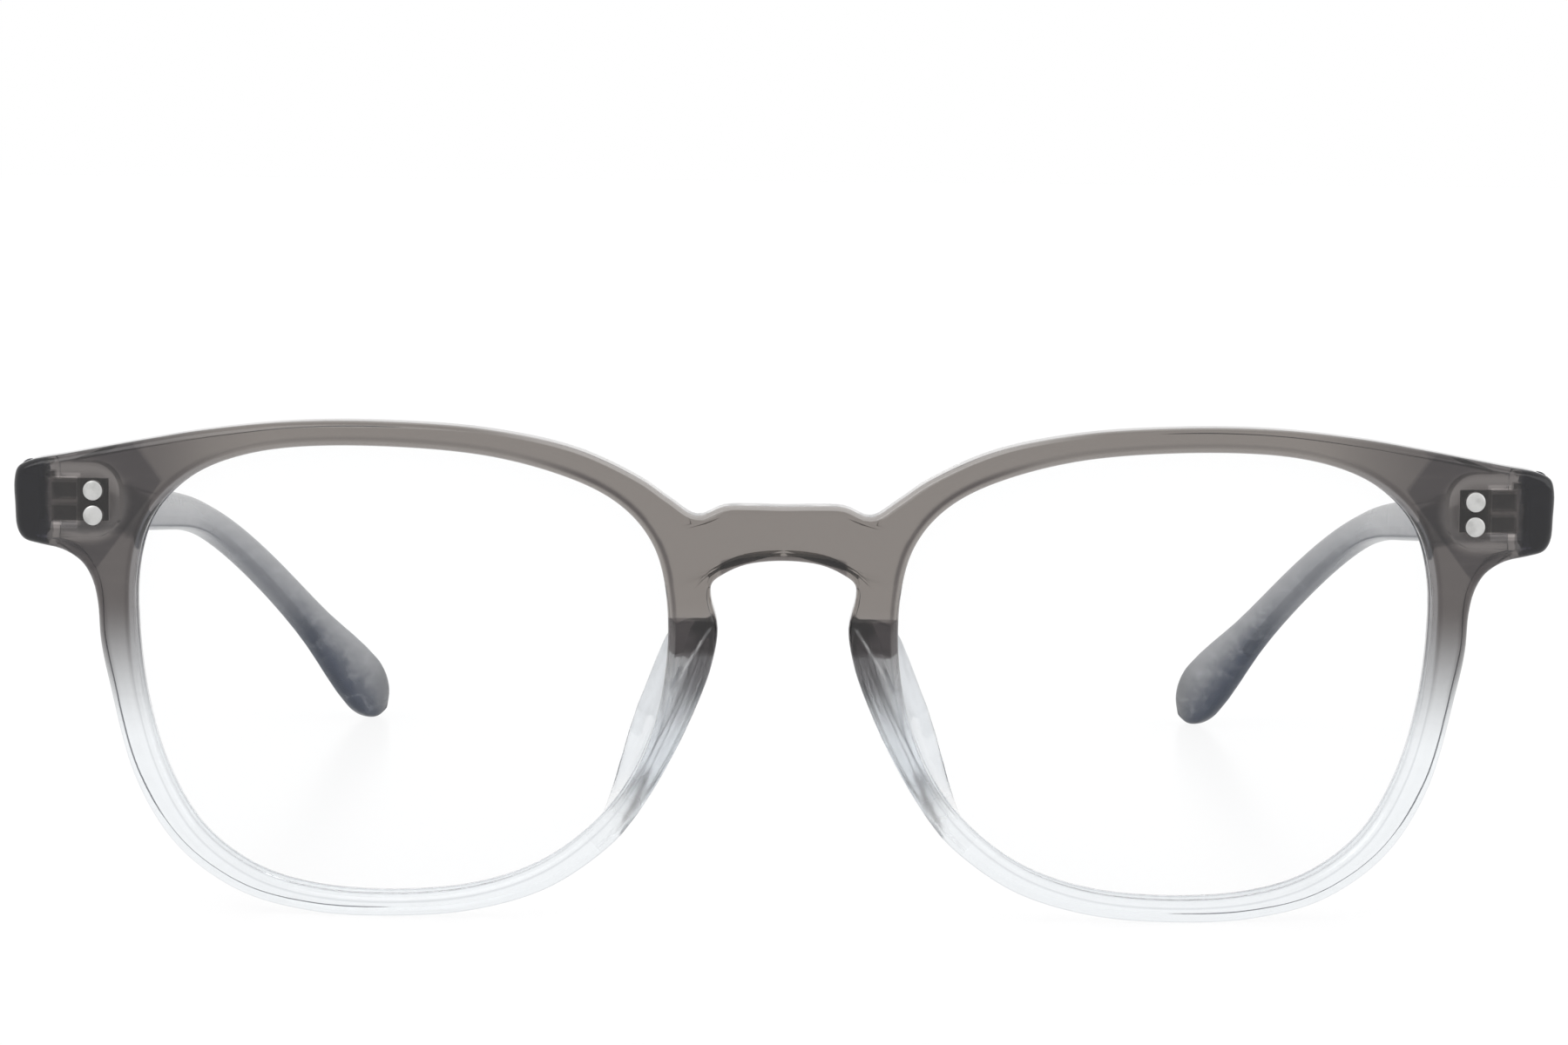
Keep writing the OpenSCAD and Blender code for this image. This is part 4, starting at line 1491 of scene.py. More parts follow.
    def edge_rows(self) -> list[tuple[float, np.ndarray]]:
        """Outer edge of one half: place on the opening's curve, then the point.

        Returns:
            Pairs of a place and a point, in the order of the places.
        """
        arch_x, arch_z, top = self.arch_w / 2, self.bridge_z - self.bridge_h, self.bridge_z
        bridge = [(-4.3, (0, top)), (-4.15, (0.22 * self.arch_w, top + 0.05)),
                  (-4, (0.41 * self.arch_w, top - 0.05)), (-3.8, (0.59 * self.arch_w, top - 0.93))]
        ends = ((2, -1.639, 0.908), (2.5, -1.219, 0.803), (3, -0.813, 0.69), (3.3, -0.425, 0.58),
                (3.6, -0.142, 0.5), (3.8, -0.032, 0.414), (4, 0, 0.26), (4.2, -0.005, -0.04),
                (4.4, -0.023, -0.33), (4.6, -0.082, -0.46), (4.8, -0.224, -0.52), (5, -0.416, -0.58),
                (5.25, -0.58, -0.724), (5.5, -0.671, -0.934), (5.8, -0.717, -1.21))
        end = [(s, (self.end_x + x * self.endpiece_w, self.hinge_z + z * self.endpiece_h))
               for s, x, z in ends]
        under = ((18.68, 0.985, 0.66), (18.8, 0.97, 0.42), (18.95, 0.8, 0.24), (19.1, 0.5, 0.07),
                 (19.25, 0, 0))
        arch = [(s, (x * arch_x, arch_z - z * self.bridge_h)) for s, x, z in under]
        rows = [*bridge, *[(s, self.rim_edge(s, w)) for s, w in self.brow_widths], *end,
                *[(s, self.rim_edge(s, w)) for s, w in self.cheek_widths], *arch]
        return [(s, np.array(p, float)) for s, p in rows]


@dataclass
class AcetateFront:
    """The one-piece front, with its bosses, hinge pockets and rivet holes."""

    shape: FrontShape
    finishes: Finishes
    station_gap: float = 0.75
    station_turn: float = 5.0
    corner_steps: int = 5
    middle_steps: int = 6
    edge_steps: int = 8
    opening_step: float = 0.02
    boss_steps: int = 12
    neck_room: float = 0.45
    pocket_open: float = 4.0
    shank_over: float = 0.2
    head_over: float = 1.0
    seat_cut_l: float = 14.0
    seat_cut_t: float = 6.0
    sharp_angle: float = 28.0

    def stations(self) -> tuple[list[tuple[float, np.ndarray]], int]:
        """Places round one half, closer where the outer edge turns.

        Returns:
            The places with their outer points, and the number of the one at the top of the nose arch.
        """
        rows = self.shape.edge_rows()

        def point(i: int) -> np.ndarray:
            """Outer point of a row; beyond the middle plane it is a mirrored one.

            Args:
                i: Number of the row, which may lie one past either end.

            Returns:
                The point as X and Z, in millimetres.
            """
            if i < 0:
                return rows[1][1] * (-1, 1)
            return rows[-2][1] * (-1, 1) if i >= len(rows) else rows[i][1]

        found = []
        for i in range(len(rows) - 1):
            a, b, c, d = (point(i + k) for k in (-1, 0, 1, 2))
            bend = math.degrees(math.acos(min(max(float(unit(b - a) @ unit(d - c)), -1), 1))) / 2
            steps = math.ceil(max(np.linalg.norm(c - b) / self.station_gap, bend / self.station_turn))
            for k in range(steps):
                place = rows[i][0] + k / steps * (rows[i + 1][0] - rows[i][0])
                found.append((place, even_curve(a, b, c, d, k / steps)))
        arch = len(found)
        first, last = rows[0], rows[-1]
        for k in range(self.middle_steps):
            f = k / self.middle_steps
            place = last[0] + f * (len(self.shape.points) + first[0] - last[0])
            found.append((place, last[1] + f * (first[1] - last[1])))
        return found, arch

    def section(self, s: float, q: np.ndarray, into: np.ndarray) -> list[list[float]]:
        """Section of the rim with rounded edges, from the front's inner edge round to its front.

        Args:
            s: Place on the opening's curve.
            q: Point on the outer edge.
            into: Direction from there into the rim.

        Returns:
            The section's points.
        """
        shape, r, t = self.shape, self.shape.edge_r, self.shape.sheet_t
        p, out = shape.opening(s), shape.rim_way(s)
        bends = [math.pi / 2 * k / self.corner_steps for k in range(self.corner_steps + 1)]
        middle = (p + r * out + q + r * into) / 2

        def corner(base: np.ndarray, way: np.ndarray, angle: float, back: bool) -> list[float]:
            """Point on a rounded edge."""
            depth = r * (1 - math.cos(angle))
            return shape.on_face(base + way * r * (1 - math.sin(angle)), t - depth if back else depth)

        depth, half_w = shape.lens_depth(p), shape.lens_t / 2 + shape.hinge.seat_gap
        floor = p + shape.groove_d * out
        points = [corner(p, out, a, False) for a in bends]
        points += [shape.on_face(p, depth - half_w), shape.on_face(floor, shape.lens_depth(floor)),
                   shape.on_face(p, depth + half_w)]
        points += [corner(p, out, a, True) for a in reversed(bends)]
        points.append(shape.on_face(middle, t))
        points += [corner(q, into, a, True) for a in bends]
        points += [corner(q, into, a, False) for a in reversed(bends)]
        return [*points, shape.on_face(middle, 0)]

    def sheet(self) -> bpy.types.Object:
        """Both halves of the sheet as one closed surface, joined at the bridge's middle plane.

        Returns:
            The sheet, with its lens openings.
        """
        stations, arch = self.stations()
        count = len(stations)
        half = []
        for i, (s, q) in enumerate(stations):
            if i == 0:
                into = np.array([0.0, -1.0])
            elif i == arch:
                into = np.array([0.0, 1.0])
            elif i > arch:
                into = np.zeros(2)
            else:
                t = stations[(i + 1) % count][1] - stations[i - 1][1]
                into = unit(np.array([t[1], -t[0]]))
            half.append(self.section(s, q, into))
        size = len(half[0])
        first = 2 * (self.corner_steps + 1) + 4
        last = first + 2 * self.corner_steps + 1

        def shared(i: int, j: int) -> bool:
            """Whether a point lies on the bridge's middle plane."""
            on_middle = i % count == 0 or i % count >= arch
            return on_middle and first <= j % size <= last

        def number(side: int, i: int, j: int) -> int:
            """Number of a section's point on one side."""
            a, b = i % count, j % size
            return (count * size if side and not shared(a, b) else 0) + a * size + b

        faces = []
        for i in range(count):
            for j in range(size):
                if shared(i, j) and shared(i + 1, j) and j < last:
                    continue
                for side in (0, 1):
                    faces.append([number(side, i, j), number(side, i + 1, j),
                                  number(side, i + 1, j + 1), number(side, i, j + 1)])
        one = np.array(half).reshape(-1, 3)
        return mesh_object("acetate_front", np.vstack([one, one * (-1, 1, 1)]), faces)

    def boss(self, side: Side) -> list[bpy.types.Object]:
        """D-shaped boss behind an endpiece.

        Args:
            side: Side that it is for.

        Returns:
            The boss, as a list of one solid to join.
        """
        shape, sign = self.shape, side.value
        x0, round_r, h = shape.hinge_x + shape.boss_end_x, shape.boss_round, shape.boss_h / 2
        low_x = x0 - shape.boss_l
        outline = [(x0, -h), (x0, h)]
        bends = np.linspace(0, math.pi / 2, self.boss_steps)
        outline += [(low_x + round_r - round_r * math.sin(a), h - round_r + round_r * math.cos(a))
                    for a in bends]
        outline += [(low_x + round_r - round_r * math.cos(a), -h + round_r - round_r * math.sin(a))
                    for a in bends]
        outline = [(sign * x, shape.hinge_z + z) for x, z in outline]
        start = shape.sheet_t / 2 + shape.sag(shape.hinge_x - shape.boss_l) - shape.back
        return [prism(outline, Axis.Y, start, shape.boss_y - shape.back)]

    def cuts(self, side: Side) -> list[bpy.types.Object]:
        """Pocket for the hinge, rivet holes and the flat seat of the temple, on one side.

        Args:
            side: Side that it is for.

        Returns:
            The solids to cut away.
        """
        shape, hinge, sign = self.shape, self.shape.hinge, side.value
        axis_y, z, x = shape.axis_y - shape.back, shape.hinge_z, shape.hinge_x
        grow, half = hinge.pocket_fit / 2, hinge.barrel_h / 2 + hinge.pocket_fit
        leaf_y, neck = shape.leaf_y, hinge.barrel_r + self.neck_room
        back_y = leaf_y + self.pocket_open

        def box(x0: float, x1: float, y0: float, y1: float, z0: float, z1: float) -> bpy.types.Object:
            """Box seen from the hinge axis, on this side."""
            outline = box_outline(sign * (x + x0), sign * (x + x1), axis_y + y0, axis_y + y1)
            return prism(outline, Axis.Z, z + z0, z + z1)

        cuts = [
            box(-hinge.front_leaf_l - grow, 0, leaf_y - grow, back_y, -half, half),
            box(-neck - grow, 0, leaf_y - grow, back_y, -half, half),
            prism(circle_outline(sign * x, axis_y, hinge.barrel_r + hinge.pocket_fit), Axis.Z,
                  z - shape.boss_h, z + shape.boss_h),
            box(shape.boss_end_x, shape.boss_end_x + self.seat_cut_l, shape.seat_y - shape.axis_y,
                self.seat_cut_t, -2 * shape.endpiece_h, 2 * shape.endpiece_h),
        ]
        face_y = shape.rivet_face_y
        for rise in (-1, 1):
            spot = (sign * (x - hinge.front_rivet_x), z + rise * hinge.rivet_pitch / 2)
            shank = circle_outline(*spot, hinge.rivet_d / 2 + hinge.pin_fit)
            head = circle_outline(*spot, hinge.rivet_head_d / 2 + hinge.pin_fit)
            cuts.append(prism(shank, Axis.Y, axis_y + face_y, axis_y + leaf_y + self.shank_over))
            cuts.append(prism(head, Axis.Y, axis_y + face_y - self.head_over,
                              axis_y + face_y + hinge.rivet_head_t))
        return cuts

    def outer_places(self) -> list[np.ndarray]:
        """Places along the outer edge of one half, close together.

        Returns:
            The places as X and Z, in millimetres.
        """
        stations, arch = self.stations()
        pairs = zip(stations[:arch], stations[1:arch + 1])
        shares = [k / self.edge_steps for k in range(self.edge_steps)]
        return [a + share * (b - a) for (_, a), (_, b) in pairs for share in shares]

    def build(self) -> bpy.types.Object:
        """Make, dress and place the front.

        Returns:
            The piece.
        """
        obj = self.sheet()
        combine(obj, [b for side in Side for b in self.boss(side)], "UNION")
        combine(obj, [c for side in Side for c in self.cuts(side)], "DIFFERENCE")
        places = np.arange(0, len(self.shape.points), self.opening_step)
        mark_distance(obj, "lens_distance", [self.shape.opening(s) for s in places])
        mark_distance(obj, "edge_distance", self.outer_places())
        polished(obj, self.sharp_angle)
        levelled(obj)
        self.finishes.dress(obj, Slot.FRONT)
        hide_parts("front")
        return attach(obj, "front")


def mark_distance(obj: bpy.types.Object, name: str, places: Sequence[np.ndarray]) -> None:
    """Give each point of a mesh its distance from an edge, both seen from the front.

    Args:
        obj: Object whose mesh is marked.
        name: Name of the number that the mesh then carries, in millimetres.
        places: Places along the edge, on the +X side. The other side's are mirrored.
    """
    tree = KDTree(len(places))
    for number, (x, z) in enumerate(places):
        tree.insert((x, 0, z), number)
    tree.balance()
    found = [tree.find((abs(v.co.x) / MM, 0, v.co.z / MM))[2] for v in obj.data.vertices]
    made = obj.data.attributes.new(name, "FLOAT", "POINT")
    made.data.foreach_set("value", np.array(found, np.float32))


@dataclass
class Lens:
    """A clear lens with the bevel that sits in the rim's groove."""

    shape: FrontShape
    finishes: Finishes
    side: Side
    fit: float = 0.12
    around: int = 192
    shares: tuple[float, ...] = (0.02, 0.25, 0.5, 0.75, 0.94, 1.0)
    sharp_angle: float = 30.0

    def ring(self, share: float, depth: float, grow: float) -> np.ndarray:
        """Points round the lens at a share of its size, a depth and a growth of its edge.

        Args:
            share: Share of the lens's size, from its centre outwards.
            depth: Depth behind the middle of the lens, in millimetres.
            grow: Growth of the edge, in millimetres.

        Returns:
            The points in order.
        """
        shape, points = self.shape, []
        for k in range(self.around):
            s = k * len(shape.points) / self.around
            q = shape.centre + share * (shape.opening(s) + grow * shape.rim_way(s) - shape.centre)
            points.append(shape.on_face(q, shape.lens_depth(q) + depth))
        return np.array(points)

    def build(self) -> bpy.types.Object:
        """Make, dress and place the lens.

        Returns:
            The piece.
        """
        half = self.shape.lens_t / 2
        rings = [self.ring(f, -half, -self.fit) for f in self.shares]
        bevel = self.ring(1.0, 0.0, self.shape.groove_d - self.fit)
        rings += [bevel, *[self.ring(f, half, -self.fit) for f in reversed(self.shares)]]
        side = np.array([self.side.value, 1, 1])
        obj = lofted(f"clear_lens_{self.side.label}", [r * side for r in rings])
        mark_distance(obj, "bevel_distance", bevel[:, [0, 2]])
        polished(obj, self.sharp_angle)
        self.finishes.dress(obj, Slot.LENS)
        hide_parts(f"lens_{self.side.label}")
        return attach(obj, "front")


@dataclass
class NosePad:
    """A fin cemented to the back of the rim beside the nose, flaring towards the lens."""

    shape: FrontShape
    finishes: Finishes
    side: Side
    start: float = 14.8
    end: float = 18.6
    peak: float = 0.75
    least_swell: float = 0.07
    depth: float = 6.0
    flare: float = 2.0
    thickness: float = 2.2
    rings: int = 56
    edge_c: float = 0.5
    thin_share: float = 0.35
    short_share: float = 0.3
    fine_steps: int = 4
    sharp_angle: float = 40.0

    def ring(self, f: float) -> np.ndarray:
        """Section of the pad at a share of its length.

        Args:
            f: Share of the pad's length, from 0 to 1.

        Returns:
            The section's points in order.
        """
        shape = self.shape
        s = self.start + f * (self.end - self.start)
        past = max((f - self.peak) / (1 - self.peak), 0.0)
        fall = math.sqrt(1 - min(past, 1.0) ** 3)
        rise = math.sin(math.pi / 2 * f / self.peak) if f < self.peak else fall
        swell = max(rise, self.least_swell)
        inward = -shape.rim_way(s)
        edge = shape.rim_edge(s, lookup(s, shape.cheek_widths))
        base = self.edge_c + shape.hinge.seat_gap
        top = base + self.thickness * (self.thin_share + (1 - self.thin_share) * swell)
        d = self.depth * swell
        reach = (shape.rim_nose_w + self.flare) * (self.short_share + (1 - self.short_share) * swell)
        profile = [
            (base, 0), ((base + top) / 2, 0), (top, 0), (top + 0.45 * (reach - top), 0.42 * d),
            (reach - 0.1, 0.82 * d), (reach + 0.1, 0.95 * d), (reach - 0.35, d),
            (reach - 0.9, 0.93 * d), (base + 0.5 * (reach - 1.2 - base), 0.6 * d),
            (base + 0.15 * (reach - base), 0.27 * d),
        ]
        fine, n = [np.array(p, float) for p in profile[:2]], len(profile)
        for i in range(2, n):
            near = [np.array(profile[(i + k) % n], float) for k in (-1, 0, 1, 2)]
            fine += [even_curve(*near, k / self.fine_steps) for k in range(self.fine_steps)]
        start = shape.sheet_t + shape.hinge.seat_gap
        return np.array([shape.on_face(edge + u * inward, start + max(v, 0)) for u, v in fine])

    def build(self) -> bpy.types.Object:
        """Make, dress and place the pad.

        Returns:
            The piece.
        """
        side = np.array([self.side.value, 1, 1])
        shares = [math.sin(math.pi / 2 * k / self.rings) for k in range(self.rings + 1)]
        obj = lofted(f"acetate_pad_{self.side.label}", [self.ring(f) * side for f in shares])
        polished(obj, self.sharp_angle)
        self.finishes.dress(obj, Slot.PAD)
        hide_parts(f"nose_pad_{self.side.label}")
        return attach(obj, "front")


@dataclass
class TempleShape:
    """Path and sections of the left temple, from the hinge axis back to its tip."""

    front: FrontShape
    length: float = 140.0
    heights: Rows = ((0, 6.9), (50.4, 5), (75.6, 4.002), (89.6, 3.45), (103.6, 3.864), (117.6, 4.278),
                     (123.9, 4.8645), (132.02, 7.35))
    widths: Rows = ((16, 3.6), (89.6, 2.6), (132.02, 2.2))
    bend_start: float = 72.5
    bend_l: float = 60.0
    bend_angle: float = 36.5
    close_in_angle: float = 3.1
    straight_l: float = 16.0
    close_in_l: float = 35.0
    curl_angle: float = 31.6
    tip_round: float = 5.6
    ease_l: float = 3.0
    step: float = 0.9
    cap_steps: int = 12
    cap_floor: float = 0.0009
    thin_cap: float = 0.3
    first_lean: float = 7.0
    lean_tries: int = 12
    lean_gain: float = 50.0

    def __post_init__(self) -> None:
        """Set the path and the lean that puts the tip on the surface."""
        front = self.front
        self.butt_l = front.axis_y - front.seat_y - front.hinge.seat_gap
        body = np.arange(-self.butt_l, self.length - self.tip_round, self.step)
        rounds = [math.sin(math.pi / 2 * k / self.cap_steps) for k in range(self.cap_steps + 1)]
        self.stops = [*body, *[self.length - self.tip_round * (1 - share) for share in rounds]]
        spot, self.path = np.array([0, -self.butt_l, 0]), []
        for i, s in enumerate(self.stops):
            if i:
                spot = spot + (s - self.stops[i - 1]) * self.way((s + self.stops[i - 1]) / 2)
            self.path.append(spot)
        self.lean = self.first_lean
        for _ in range(self.lean_tries):
            low = min(self.leaned(p)[2] - self.half(s)[1] * self.leaned(self.up(s))[2]
                      for p, s in zip(self.path, self.stops))
            self.lean += self.lean_gain * (front.hinge_z + low) / self.length

    def bend(self, s: float) -> float:
        """Angle that the temple has bent down by."""
        return math.radians(self.bend_angle * smooth((s - self.bend_start) / self.bend_l))

    def side(self, s: float) -> float:
        """Angle that the temple has turned inwards by.

        Args:
            s: Length along the path from the hinge, in millimetres.

        Returns:
            The angle in radians.
        """
        close = -self.close_in_angle * smooth((s - self.straight_l) / self.close_in_l)
        curl = -self.curl_angle * smooth((s - self.bend_start) / (self.length - self.bend_start))
        return math.radians(close + curl)

    def way(self, s: float) -> np.ndarray:
        """Direction of the path.

        Args:
            s: Length along the path from the hinge, in millimetres.

        Returns:
            The direction as a vector one long.
        """
        side, bend = self.side(s), self.bend(s)
        level = math.cos(bend)
        return np.array([math.sin(side) * level, math.cos(side) * level, -math.sin(bend)])

    def across(self, s: float) -> np.ndarray:
        """Direction across the temple, outwards."""
        return np.array([math.cos(self.side(s)), -math.sin(self.side(s)), 0.0])

    def up(self, s: float) -> np.ndarray:
        """Direction of the temple's height."""
        return np.cross(self.across(s), self.way(s))

    def leaned(self, p: np.ndarray) -> np.ndarray:
        """A point or direction after the temple's lean about the hinge.

        Args:
            p: The point or direction before the lean.

        Returns:
            The same one after it.
        """
        a = math.radians(self.lean)
        cos, sin = math.cos(a), math.sin(a)
        return np.array([p[0], p[1] * cos + p[2] * sin, p[2] * cos - p[1] * sin])

    def eased(self, s: float, rows: Rows) -> float:
        """Table's value at s, with its corners eased."""
        return (lookup(s - self.ease_l, rows) + 2 * lookup(s, rows) + lookup(s + self.ease_l, rows)) / 4

    def half(self, s: float) -> np.ndarray:
        """Half the thickness and half the height at s.

        Args:
            s: Length along the path from the hinge, in millimetres.

        Returns:
            The two halves in millimetres, and a zero.
        """
        cap = math.sqrt(max(1 - max((s - self.length) / self.tip_round + 1, 0) ** 2, self.cap_floor))
        width = self.eased(s, self.widths) * max(cap, self.thin_cap)
        return np.array([width, self.eased(s, self.heights) * cap, 0]) / 2

    def spot(self, p: np.ndarray) -> np.ndarray:
        """Place of a path point in the glasses."""
        front = self.front
        return self.leaned(p) + (front.temple_x, front.axis_y - front.back, front.hinge_z)


@dataclass
class Temple:
    """A temple with its paddle, milled hinge end and the core wire inside."""

    shape: TempleShape
    finishes: Finishes
    trees: Trees
    around: int = 56
    squareness: float = 3.4
    wire_d: float = 1.1
    wire_stop: float = 15.0
    wire_out: float = 0.5
    wire_swing_l: float = 60.0
    wire_drop: float = 0.27
    wire_around: int = 16
    butt_reach: float = 0.1
    mill_h: float = 7.0
    rivet_cut_l: float = 7.0
    cut_over: float = 1.0
    leaf_over: float = 0.5
    sharp_angle: float = 30.0
    wire_sharp_angle: float = 40.0

    def loft(self, name: str, stops: Sequence[float], centres: np.ndarray, halves: np.ndarray,
             slot: Slot, around: int, squareness: float) -> bpy.types.Object:
        """Run the loft tree along a stretch of the temple.

        Args:
            name: Name of the piece.
            stops: Places along the temple.
            centres: Centre of each section, in the glasses.
            halves: Half sizes of each section.
            slot: Finish of the piece.
            around: Points round a section.
            squareness: Shape of the section: 2 is round, and more is squarer.

        Returns:
            The piece.
        """
        shape = self.shape
        across = np.array([shape.leaned(shape.across(s)) for s in stops])
        up = np.array([shape.leaned(shape.up(s)) for s in stops])
        zero = np.zeros((1, 3))
        obj = carrier(name, np.vstack([centres[:1], centres, centres[-1:]]),
                      across=np.vstack([across[:1], across, across[-1:]]),
                      up=np.vstack([up[:1], up, up[-1:]]),
                      half=np.vstack([zero, halves * MM, zero]))
        self.trees.loft.run(obj, {"Around": around, "Squareness": squareness,
                                  "Material": self.finishes.made[slot]})
        return obj

    def body(self) -> bpy.types.Object:
        """The acetate of the left temple before milling, with its first section on the seat.

        Returns:
            The body as one solid.
        """
        shape = self.shape
        centres = np.array([shape.spot(p) for p in shape.path])
        halves = np.array([shape.half(s) for s in shape.stops])
        obj = self.loft("acetate_temple_left", shape.stops, centres, halves, Slot.TEMPLE,
                        self.around, self.squareness)
        level = (shape.front.axis_y - shape.front.back - shape.butt_l) * MM
        way, start = Vector(shape.leaned(shape.way(0))), Vector(centres[0]) * MM
        for vertex in obj.data.vertices:
            if abs((vertex.co - start).dot(way)) < self.butt_reach * MM:
                vertex.co += (level - vertex.co.y) / way.y * way
        return obj

    def cuts(self) -> list[bpy.types.Object]:
        """Milled end, room for the barrels, leaf seat and rivet holes of the left temple.

        Returns:
            The solids to cut away.
        """
        front, hinge = self.shape.front, self.shape.front.hinge
        x, y, z = front.hinge_x, front.axis_y - front.back, front.hinge_z
        shoulder = hinge.barrel_r + hinge.barrel_clear
        leaf_x = front.temple_x - front.temple_t / 2 - x
        outer_x = front.end_x + front.temple_proud - x
        half = hinge.barrel_h / 2 - hinge.barrel_clear
        gap = hinge.seat_gap
        round_y = hinge.temple_leaf_l - half
        over, leaf_low = self.cut_over, x + leaf_x - self.leaf_over
        butt_y = y - self.shape.butt_l
        milled = box_outline(x + leaf_x - over, x + hinge.mill_x, butt_y - over, y + shoulder)
        leaf_high = x + leaf_x + hinge.leaf_t
        leaf = box_outline(leaf_low, leaf_high, y + shoulder - gap, y + round_y)
        cuts = [
            prism(milled, Axis.Z, z - self.mill_h, z + self.mill_h),
            prism(circle_outline(x, y, hinge.barrel_r + hinge.pocket_fit), Axis.Z,
                  z - hinge.barrel_h / 2 - hinge.barrel_clear,
                  z + hinge.barrel_h / 2 + hinge.barrel_clear + hinge.screw_room),
            prism(leaf, Axis.Z, z - half - gap, z + half + gap),
            prism(circle_outline(y + round_y, z, half + gap), Axis.X, leaf_low, leaf_high),
        ]
        for k in (0, 1):
            spot = (y + hinge.temple_rivet_y + k * hinge.temple_rivet_pitch, z)
            shank = circle_outline(*spot, hinge.rivet_d / 2 + hinge.pin_fit)
            head = circle_outline(*spot, hinge.rivet_head_d / 2 + hinge.pin_fit)
            cuts.append(prism(shank, Axis.X, x, x + self.rivet_cut_l))
            cuts.append(prism(head, Axis.X, x + outer_x - hinge.rivet_head_t, x + outer_x + over))
        return cuts

    def wire(self) -> bpy.types.Object:
        """The core wire of the left temple, from the hinge to the paddle.

        Returns:
            The wire as one solid.
        """
        shape = self.shape
        first = shape.front.hinge.barrel_r + shape.front.hinge.barrel_clear
        picked = [(s, p) for s, p in zip(shape.stops, shape.path)
                  if first < s < shape.length - self.wire_stop]
        centres = []
        for s, p in picked:
            out = self.wire_out * (1 - smooth(s / self.wire_swing_l))
            drop = self.wire_drop * 2 * shape.half(s)[1]
            centres.append(shape.spot(p + out * shape.across(s) - drop * shape.up(s)))
        halves = np.full((len(picked), 3), self.wire_d / 2)
        return self.loft("core_wire_shown_left", [s for s, _ in picked], np.array(centres), halves,
                         Slot.WIRE, self.wire_around, ROUND)

    def build(self) -> list[bpy.types.Object]:
        """Make, dress and place both temples and their core wires.

        Returns:
            The pieces.
        """
        body, wire = self.body(), self.wire()
        combine(body, self.cuts(), "DIFFERENCE")
        polished(body, self.sharp_angle)
        polished(wire, self.wire_sharp_angle)
        pieces = []
        for left, node, slot in ((body, "temple", Slot.TEMPLE), (wire, "core_wire", Slot.WIRE)):
            right = mirrored(left, left.name.replace("left", "right"))
            for side, obj in ((Side.LEFT, left), (Side.RIGHT, right)):
                self.finishes.dress(obj, slot)
                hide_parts(f"{node}_{side.label}")
                pieces.append(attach(obj, side.body))
        return pieces


@dataclass
class HingeHardware:
    """Rivets, hinge halves and screws of both sides."""

    front: FrontShape
    finishes: Finishes
    trees: Trees
    around: int = 40
    dome_steps: int = 8
    peen_share: float = 0.45
    sharp_angle: float = 35.0

    def rivet(self, length: float) -> bpy.types.Object:
        """One rivet along Z: low dome, sunk head, shank and the peened end behind the leaf.

        Args:
            length: From the face to the back of the hinge leaf.

        Returns:
            The rivet, to be repeated.
        """
        hinge = self.front.hinge
        head, shank = hinge.rivet_head_d / 2, hinge.rivet_d / 2
        peen, end = self.peen_share * hinge.rivet_head_d, length + hinge.seat_gap
        bends = np.linspace(0, math.pi / 2, self.dome_steps + 1)
        rows = [(head * math.sin(a), -hinge.rivet_dome / 2 * math.cos(a)) for a in bends]
        rows += [(head, hinge.rivet_head_t), (shank, hinge.rivet_head_t), (shank, end), (peen, end)]
        rows += [(peen * math.cos(a), end + hinge.rivet_dome * math.sin(a)) for a in bends[1:]]
        n = len(rows)
        obj = carrier("rivet_pattern", np.array([(0, 0, z) for _, z in rows]),
                      across=np.tile((1, 0, 0), (n, 1)), up=np.tile((0, 1, 0), (n, 1)),
                      half=np.array([(r * MM, r * MM, 0) for r, _ in rows]))
        metal = self.finishes.made[Slot.RIVET]
        self.trees.loft.run(obj, {"Around": self.around, "Squareness": ROUND, "Material": metal})
        return obj

    def row(self, name: str, length: float, spots: np.ndarray, aim: Triple,
            body: str, nodes: Sequence[str]) -> bpy.types.Object:
        """Rivets of one body, each in its hole.

        Args:
            name: Name of the piece.
            length: From the face to the back of the leaf.
            spots: Middle of each head on the face.
            aim: Direction of the shanks.
            body: Body that they ride on.
            nodes: CAD nodes that they stand for.

        Returns:
            The piece.
        """
        pattern = self.rivet(length)
        obj = carrier(name, spots, aim=np.tile(aim, (len(spots), 1)))
        self.trees.repeat.run(obj, {"Piece": pattern, "Material": self.finishes.made[Slot.RIVET]})
        bpy.data.objects.remove(pattern)
        polished(obj, self.sharp_angle)
        self.finishes.dress(obj, Slot.RIVET)
        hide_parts(*nodes)
        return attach(obj, body)

    def build(self) -> list[bpy.types.Object]:
        """Make the rivets, and dress the hinge halves and screws.

        Returns:
            The new pieces.
        """
        front, hinge = self.front, self.front.hinge
        x, y, z = front.hinge_x, front.axis_y - front.back, front.hinge_z
        spots = np.array([(side.value * (x - hinge.front_rivet_x), y + front.rivet_face_y,
                           z + rise * hinge.rivet_pitch / 2) for side in Side for rise in (1, -1)])
        names = [f"front_rivet_{rise}_{side.label}" for side in Side for rise in ("upper", "lower")]
        pieces = [self.row("front_rivets", front.leaf_y + hinge.leaf_t - front.rivet_face_y, spots,
                           (0, 1, 0), "front", names)]
        outer = front.end_x + front.temple_proud
        inner = front.temple_x - front.temple_t / 2
        for side in Side:
            rows = [y + hinge.temple_rivet_y + k * hinge.temple_rivet_pitch for k in (0, 1)]
            spots = np.array([(side.value * outer, row, z) for row in rows])
            names = [f"temple_rivet_{place}_{side.label}" for place in ("front", "rear")]
            pieces.append(self.row(f"temple_rivets_{side.label}", outer - inner, spots,
                                   (-side.value, 0, 0), side.body, names))
            self.finishes.dress_node(f"front_hinge_{side.label}", Slot.HINGE)
            self.finishes.dress_node(f"temple_hinge_{side.label}", Slot.HINGE)
            self.finishes.dress_node(f"hinge_screw_{side.label}", Slot.SCREW)
        return pieces


# ---- the studio ----


